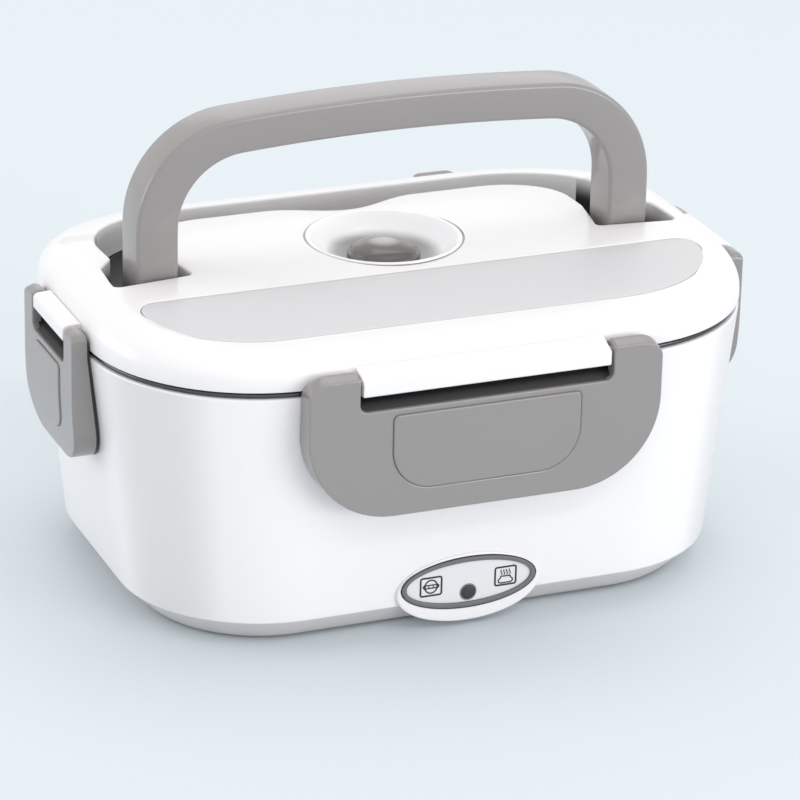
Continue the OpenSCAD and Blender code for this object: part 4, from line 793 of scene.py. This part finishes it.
def steam_vent():
    """Ring with a dished bowl and the steam channel under it, and the dark line round the ring."""
    start, rise = PLUG_R + 0.6, VENT_TOP - 0.25 - BOWL_Z
    bowl = [(start + (VENT_IN - start) * t, BOWL_Z + rise * t ** 2.2) for t in np.linspace(0, 1, 22)]
    profile = [(STEAM_R, STEAM_Z), (STEAM_R, BOWL_Z - 0.3), (STEAM_R + 0.3, BOWL_Z)] + bowl
    profile += [(VENT_IN + 0.2, VENT_TOP - 0.08), (VENT_IN + 0.5, VENT_TOP), (VENT_R - 1.0, VENT_TOP),
                (VENT_R - 0.7, VENT_TOP - 0.1), (VENT_R - 0.55, VENT_TOP - 0.35), (VENT_R - 0.55, 108.85),
                (VENT_IN - 0.3, 108.85)]
    profile += [(r, z - 1.5) for r, z in reversed(bowl[:-1])]
    profile += [(STEAM_R + 1.2, BOWL_Z - 1.3), (STEAM_R + 1.2, STEAM_Z + 0.05), (STEAM_R, STEAM_Z)]
    piece("vent_skin", Form().spin(profile, 0, VENT_Y), CLEAR, "lid", "vent_cup", sharp=45)
    profile = [(VENT_R - 0.5, 108.9), (VENT_R + 0.06, 108.9), (VENT_R + 0.06, VENT_TOP - 0.5),
               (VENT_R - 0.05, VENT_TOP - 0.42), (VENT_R - 0.5, VENT_TOP - 0.42), (VENT_R - 0.5, 108.9)]
    piece("vent_gasket", Form().spin(profile, 0, VENT_Y), GREY, "lid", sharp=45)


def vent_plug():
    """Domed plug: a stem in the steam channel, a flange and the dome."""
    profile = [(0.01, -6), (4.5, -6), (4.8, -5.6), (4.8, 0), (PLUG_R - 0.3, 0.02), (PLUG_R, 0.3),
               (PLUG_R, 1.0), (PLUG_R - 0.25, 1.3), (PLUG_R - 1.1, 1.4), (PLUG_R - 1.3, 1.6)]
    profile += [((PLUG_R - 1.4) * cos(x), 1.6 + (PLUG_H - 1.6) * sin(x))
                for x in degrees(6, 89.6, 18)]
    profile += [(0.01, PLUG_H)]
    form = Form().spin([(r, BOWL_Z + rise) for r, rise in profile], 0, VENT_Y)
    piece("plug_dome", form, DOME, "vent_plug", "vent_plug", sharp=45)


lid_shell()
for name, kind, turn in LATCHES:
    hinge_bar(name, kind, turn)
for make in (lid_liner, lid_seal, cutlery_tray, cutlery_cover, steam_vent, vent_plug):
    make()


# Handle
def handle_edge(half_w, top, r):
    """One edge of the handle, from its right pivot over the top to the left one, slightly smoothed."""
    corner = arc(half_w - r, top - ARCH - r, r, r, 0, 84, 26)
    x = np.linspace(half_w - r, r - half_w, 29)
    arch = np.column_stack([x, top - ARCH * (x / (half_w - r)) ** 2])
    leg = np.column_stack([np.full(9, half_w), np.linspace(HANDLE_Z, top - ARCH - r, 10)[:-1]])
    points = np.concatenate([leg, corner, arch, corner[::-1] * [-1, 1], leg[::-1] * [-1, 1]])
    for _ in range(2):
        points[1:-1] = (points[:-2] + 2 * points[1:-1] + points[2:]) / 4
    return points


def handle_section(outer, inner, half_t, edge_r):
    """A rounded rectangle between a point of the outer edge and one of the inner edge."""
    span = np.linalg.norm(outer - inner)
    outline = block(0, -half_t, span, half_t, [edge_r] * 4, 6)
    toward = (inner - outer) / span
    return np.column_stack([outer[0] + toward[0] * outline[:, 0], HANDLE_Y + outline[:, 1],
                            outer[1] + toward[1] * outline[:, 0]])


def handle():
    """Carry handle: an arched bow whose legs end round about the pivots."""
    half_t, edge_r = HANDLE_T / 2, 1.5
    outer = handle_edge(HANDLE_HW, HANDLE_TOP, HANDLE_R)
    inner = handle_edge(HANDLE_HW - LEG_W, HANDLE_TOP - BAR_H, HANDLE_R - BAR_H)
    form = Form().skin([handle_section(out, into, half_t, edge_r) for out, into in zip(outer, inner)])
    end = block(0, 0, half_t, LEG_W, [0, edge_r, edge_r, 0], 6)
    for side in (1, -1):
        form.skin([np.column_stack([side * (HANDLE_HW - end[:, 1]), HANDLE_Y + end[:, 0] * cos(x),
                                    HANDLE_Z + end[:, 0] * sin(x)]) for x in degrees(180, 360, 25)])
    piece("handle_skin", form, GREY, "handle", "handle", sharp=50)


handle()


# Latches
def latch_outline(kind):
    """A latch from the front: a plate with two ears and the notch between them."""
    points = [(-kind.hw, kind.low), (kind.hw, kind.low), (kind.hw, EAR_TOP), (kind.notch, EAR_TOP),
              (kind.notch, NOTCH_Z), (-kind.notch, NOTCH_Z), (-kind.notch, EAR_TOP), (-kind.hw, EAR_TOP)]
    radii = [kind.low_r, kind.low_r, kind.corner, 1.3, 2.8, 2.8, 1.3, kind.corner]
    return densify(soften(points, radii, 20), 2.0)


def pad_outline(kind):
    """The raised thumb pad on a latch."""
    half_w, r = kind.notch * 0.74, kind.low_r * 0.47
    return densify(block(-half_w, kind.low + 9, half_w, NOTCH_Z - 2.2, [r, r, 2.0, 2.0], 14), 2.0)


def latch_ring(outline, y, kind):
    """An outline at depth y, where the ears' tops slope to the front and round off to the back."""
    ring = upright(outline, y)
    share = (y - front_y(kind) - kind.ear) / kind.ear
    if share > 0:
        fall = kind.ear * (1 - sqrt(max(0, 1 - share ** 2)))
    else:
        fall = kind.drop * abs(share) ** 1.4
    root = EAR_TOP - max(kind.corner, 4.5)
    ring[:, 2] -= np.clip((ring[:, 2] - root) / (EAR_TOP - root), 0, 1) * fall
    return ring


def follow(verts, kind):
    """A side latch's face bends in toward its lower edge, and every latch's back follows the body's draft."""
    share = np.clip((verts[:, 1] - front_y(kind)) / (-GAP - front_y(kind)), 0, 1)
    face_in = kind.bend * (np.clip(BEND_Z - verts[:, 2], 0, None) / (BEND_Z - kind.low)) ** 2
    back_in = kind.draft * np.clip(level(verts[:, 2]), 0, None)
    verts[:, 1] += face_in * (1 - share) + back_in * share
    return verts


def latch_form(kind):
    """A latch before it is hollowed: its side, back and front, and the pad inside a groove."""
    front, pivot_y, edge, lap, pad_rise = front_y(kind), -GAP - kind.ear, 0.5, 1.0, 0.5
    outline, pad = latch_outline(kind), pad_outline(kind)
    path = [(-lap, front)] + [(s, front + d) for s, d in quarter(edge)]
    path += [(0, y) for y in np.linspace(front + edge + 0.4, pivot_y, 6)]
    path += [(0, pivot_y + kind.ear * sin(x)) for x in degrees(10, 90, 9)]
    rings = [latch_ring(offset(outline, grow), y, kind) for grow, y in path]
    form = Form().skin(rings)
    form.region(rings[-1][:, [0, 2]], [], 4, upright, -GAP)
    form.region(offset(outline, -lap), [offset(pad, 1.1)], 4, latch_ring, front, kind)
    groove = [(1.1, 0.0), (0.42, 0.0), (0.3, 0.08), (0.3, 0.3), (0.04, 0.3), (0.0, 0.0), (-0.03, -0.26),
              (-0.15, -0.42), (-0.4, -pad_rise), (-0.9, -pad_rise)]
    form.skin([latch_ring(offset(pad, grow), front + depth, kind) for grow, depth in groove])
    form.region(offset(pad, -0.9), [], 4, upright, front - pad_rise)
    return form


def latch_hollows(kind):
    """What is cut out of a latch from behind: the hollow, the room at the catch and the finger's grip."""
    plate, behind = front_y(kind) + 2.2, 2.0
    hollow = offset(block(-kind.hw, kind.low, kind.hw, 84.8, [kind.low_r, kind.low_r, 3, 3], 20), -2.4)
    room, grip = kind.notch, kind.catch + 1.5
    return [Form().skin([upright(hollow, y) for y in (plate, behind)], True, True),
            Form().box((-room, plate, HOOK_LOW + 0.1), (room, behind, NOTCH_Z + 2)),
            Form().box((-grip, plate + kind.relief, 40), (grip, behind, kind.low + 3.4))]


def latch_skin(name, kind, turn):
    """The latch's shell. A side latch has a black edge along the body, painted shade for the gap between
    them.
    """
    made = piece(name + "_skin", latch_form(kind), GREY, None, None, 40)
    cut_away(made, latch_hollows(kind), 40)
    mesh = made.data
    # Painted shade: a side latch's faces next to the body turn black, for the gap between latch and body.
    if kind is SHORT:
        mesh.materials.append(LINE)
        for face in mesh.polygons:
            if face.center[1] / MM > -GAP - 0.8 and abs(face.normal[1]) < 0.7:
                face.material_index = len(mesh.materials) - 1
    verts = np.array([tuple(vertex.co) for vertex in mesh.vertices]) / MM
    mesh.vertices.foreach_set("co", (follow(verts, kind) * MM).ravel())
    mesh.transform(Matrix.Rotation(radians(turn), 4, "Z") @ Matrix.Translation((0, -kind.reach * MM, 0)))
    mesh.update()
    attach(made, name)
    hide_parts(name)


def latch(side, kind, turn):
    """One latch with the hook that snaps under the catch, the cove in its notch, painted near black as the
    shadow under the hinge bar, and the body's catch rib.
    """
    name, front = side + "_latch", front_y(kind)
    latch_skin(name, kind, turn)
    hook = block(front + 2.0, HOOK_LOW, -1.9, HOOK_TOP, [0.1, 0.8, 0.4, 0.1], 4)
    cove = soften([(-3.4, HOOK_LOW - 0.3), (-2.0, HOOK_LOW - 0.3), (-2.0, kind.cove_top),
                   (-2.8, kind.cove_top), (-3.6, NOTCH_Z + 0.9), (front + 1.0, NOTCH_Z - 0.1),
                   (front + 1.0, NOTCH_Z - 1.5), (-3.4, NOTCH_Z - 1.5)],
                  [0.1, 0.1, 0.3, 0.3, 2.2, 0.1, 0.1, 0.3], 4)
    rib = block(-1.6, CATCH_LOW, 1.4, CATCH_TOP, [0.5, 0.1, 0.1, 0.9], 4)
    for label, material, body, slot, half_w, outline in (
            (name + "_hook", GREY, name, "grey_plastic", kind.catch - 2, hook),
            (name + "_web", SHADE, name, "grey_plastic", kind.notch + 1, cove),
            ("catch_rib_" + side, WHITE, "base", "white_shell", kind.catch, rib)):
        form = Form().bar(outline, half_w, 0.3)
        piece(label, form, material, body, turn=turn, reach=kind.reach)


for side, kind, turn in LATCHES:
    latch(side, kind, turn)


# Indicator
def bezel():
    """Dark oval ring, and the black line round it."""
    rings = {"bezel_skin": (RING, "panel_bezel", -0.3,
                            [(0.0, 1.5), (0.0, -0.2), (-0.12, -0.34), (-0.3, -0.4), (-1.35, -0.4),
                             (-1.55, -0.33), (-1.7, -0.15), (-1.7, 1.5)]),
             "bezel_line": (LINE, None, 0.05,
                            [(0.0, 1.0), (0.0, -0.2), (-0.08, -0.28), (-0.25, -0.28), (-0.33, -0.2),
                             (-0.33, 1.0)])}
    for name, (material, stands_for, grow, profile) in rings.items():
        form = Form().loop([dial_ring(grow + g, depth, 128) for g, depth in profile])
        piece(name, form, material, "base", stands_for, sharp=60)


def lamp_outline(r):
    return ellipse(r, r, 48) + [0, LAMP_Z - DIAL_Z]


def panel_face():
    """Light oval face with the lamp's hole."""
    face, hole = ellipse(DIAL_A - RING_W, DIAL_B - RING_W), lamp_outline(LAMP_R + 0.05)
    back_y = FACE_Y + 1.3
    form = Form()
    form.region(face, [hole], 4, upright, FACE_Y, DIAL_Z)
    form.skin([upright(face, y, DIAL_Z) for y in (FACE_Y, back_y)])
    form.skin([upright(hole, y, DIAL_Z) for y in (FACE_Y, back_y)])
    form.region(face, [hole], 4, upright, back_y, DIAL_Z)
    piece("face_skin", form, PANEL, "base", "panel_face")


def disc(name, material, profile, stands_for=None):
    """A round piece about the lamp's axis, from a profile of (radius, depth behind the face)."""
    form = Form().skin([upright(lamp_outline(r), FACE_Y + depth, DIAL_Z) for r, depth in profile], True, True)
    piece(name, form, material, "base", stands_for, sharp=50)


def lamp():
    """Dark lens in a thin collar."""
    collar = [(0, 1.2), (0, -0.15), (-0.12, -0.25), (-0.35, -0.25), (-0.45, -0.15), (-0.45, 0.1)]
    disc("lamp_collar", COLLAR, [(LAMP_R + grow, depth) for grow, depth in collar])
    lens_r = LAMP_R - 0.5
    dome = [(lens_r * cos(x), -0.15 - 0.45 * sin(x)) for x in degrees(12, 84, 8)]
    disc("lamp_skin", LAMP, [(lens_r, 1.1), (lens_r, -0.15)] + dome, "led_lens")


def stroke(form, route, width, closed=False):
    """A printed line along a route on the face: a thin bar with rounded edges."""
    points, y = np.asarray(route, float), FACE_Y - 0.12
    along = np.roll(points, -1, 0) - np.roll(points, 1, 0) if closed else np.gradient(points, axis=0)
    tangent = unit(along)
    half = np.stack([tangent[:, 1], -tangent[:, 0]], 1) * width / 2
    section = [(1.0, 0.2), (1.0, 0.04), (0.85, 0.0), (-0.85, 0.0), (-1.0, 0.04), (-1.0, 0.2)]
    rows = [upright(points + half * share, y + depth, DIAL_Z) for share, depth in section]
    rings = np.swapaxes(rows, 0, 1)
    return form.loop(rings) if closed else form.skin(rings, True, True)


def signs():
    """Two plain signs in frames: a container in a ring at the left, and steam over a pot at the right."""
    middle = 13.4
    left, right = np.array([-middle, 0]), np.array([middle, 0])
    form = Form()
    for place in (left, right):
        stroke(form, rectangle(3.75, 3.25, 0.7, 6) + place, 0.62, True)
    stroke(form, ellipse(2.2, 2.35, 48) + left, 0.5, True)
    stroke(form, rectangle(2.75, 0.55, 0.5, 6) + left, 0.42, True)
    for x in (-0.8, 0.8):
        stroke(form, [(x, z) + left for z in (-0.5, 0, 0.5)], 0.32)
    pot = [(-1.6, -0.1), (-1.9, -0.75), (-2.6, -1.4), (-2.45, -2.5), (2.45, -2.5), (2.6, -1.4), (1.9, -0.75),
           (1.6, -0.1)]
    pot = soften(pot, [0.25, 0.3, 0.6, 0.8, 0.8, 0.6, 0.3, 0.25], 6) + right
    stroke(form, densify(pot, 0.5), 0.46, True)
    for x in (-1.5, -0.5, 0.5, 1.5):
        z = np.linspace(0.4, 2.3, 12)
        stroke(form, np.column_stack([middle + x + 0.25 * np.sin((z - 0.5) * 3.5), z]), 0.34)
    piece("signs", form, INK, "base", "panel_icons")


for make in (bezel, panel_face, lamp, signs):
    make()

# Floor
FLOOR_HALF = 12000
floor_look = plastic("floor", (0.665, 0.725, 0.757), 0.9, ior=1.5, spread=0, bump=0, tint=0)
corners = [(x * FLOOR_HALF, y * FLOOR_HALF, 0) for x, y in ((-1, -1), (1, -1), (1, 1), (-1, 1))]
floor = piece("floor", Form().add(corners, [(0, 1, 2, 3)]), floor_look)

# Light: a bright room, soft panels, and a narrow strip for the highlights. From here on, in metres
scene.view_settings.view_transform = "Standard"
world = bpy.data.worlds.new("studio")
world.use_nodes = True
background = world.node_tree.nodes["Background"]
background.inputs[0].default_value = (0.99, 0.99, 1.0, 1)
background.inputs[1].default_value = 0.92
scene.world = world


def panel(name, place, aim_z, size, power):
    """A soft light at place that points at the box's middle, at height aim_z."""
    light = bpy.data.lights.new(name, "AREA")
    light.shape, light.size, light.size_y, light.energy = "RECTANGLE", *size, power
    made = bpy.data.objects.new(name, light)
    made.location = place
    made.rotation_mode = "QUATERNION"
    made.rotation_quaternion = (Vector((0, 0, aim_z)) - Vector(place)).to_track_quat("-Z", "Y")
    scene.collection.objects.link(made)


panel("top", (0.45, 0.6, 2.2), 0, (1.7, 1.4), 9)
panel("back", (0.9, 2.3, 1.05), 0.08, (2.2, 0.9), 3)
panel("front", (1.1, -1.75, 0.4), 0.06, (1.2, 0.6), 12.5)
panel("strip", (0.2, -1.3, 1.5), 0.08, (1.8, 0.07), 4)
panel("left", (-1.8, 0.9, 0.5), 0.06, (1.2, 0.8), 9)

# Camera, fitted to the photograph. The focal length and the shift of the middle are in its pixels
PHOTO_W, FOCAL, SHIFT_X, SHIFT_Y = 800, 4300, 14.06, 3.92
AZIMUTH, ROLL_ANGLE = radians(-22.17), radians(1.24)
EYE, AIM = Vector((-0.5156, -1.2655, 0.6212)), Vector((0, 0, 0.05))
back = (EYE - AIM).normalized()
level_right = Vector((cos(AZIMUTH), sin(AZIMUTH), 0))
level_up = back.cross(level_right)
right = cos(ROLL_ANGLE) * level_right + sin(ROLL_ANGLE) * level_up
up = -sin(ROLL_ANGLE) * level_right + cos(ROLL_ANGLE) * level_up
optics = bpy.data.cameras.new("camera")
optics.sensor_fit, optics.sensor_width = "HORIZONTAL", 36.0
optics.lens = optics.sensor_width * FOCAL / PHOTO_W
optics.shift_x, optics.shift_y = SHIFT_X / PHOTO_W, SHIFT_Y / PHOTO_W
optics.clip_start, optics.clip_end = 0.05, 50
camera = bpy.data.objects.new("camera", optics)
camera.matrix_world = Matrix.Translation(EYE) @ Matrix((right, up, back)).transposed().to_4x4()
scene.collection.objects.link(camera)
scene.camera = camera
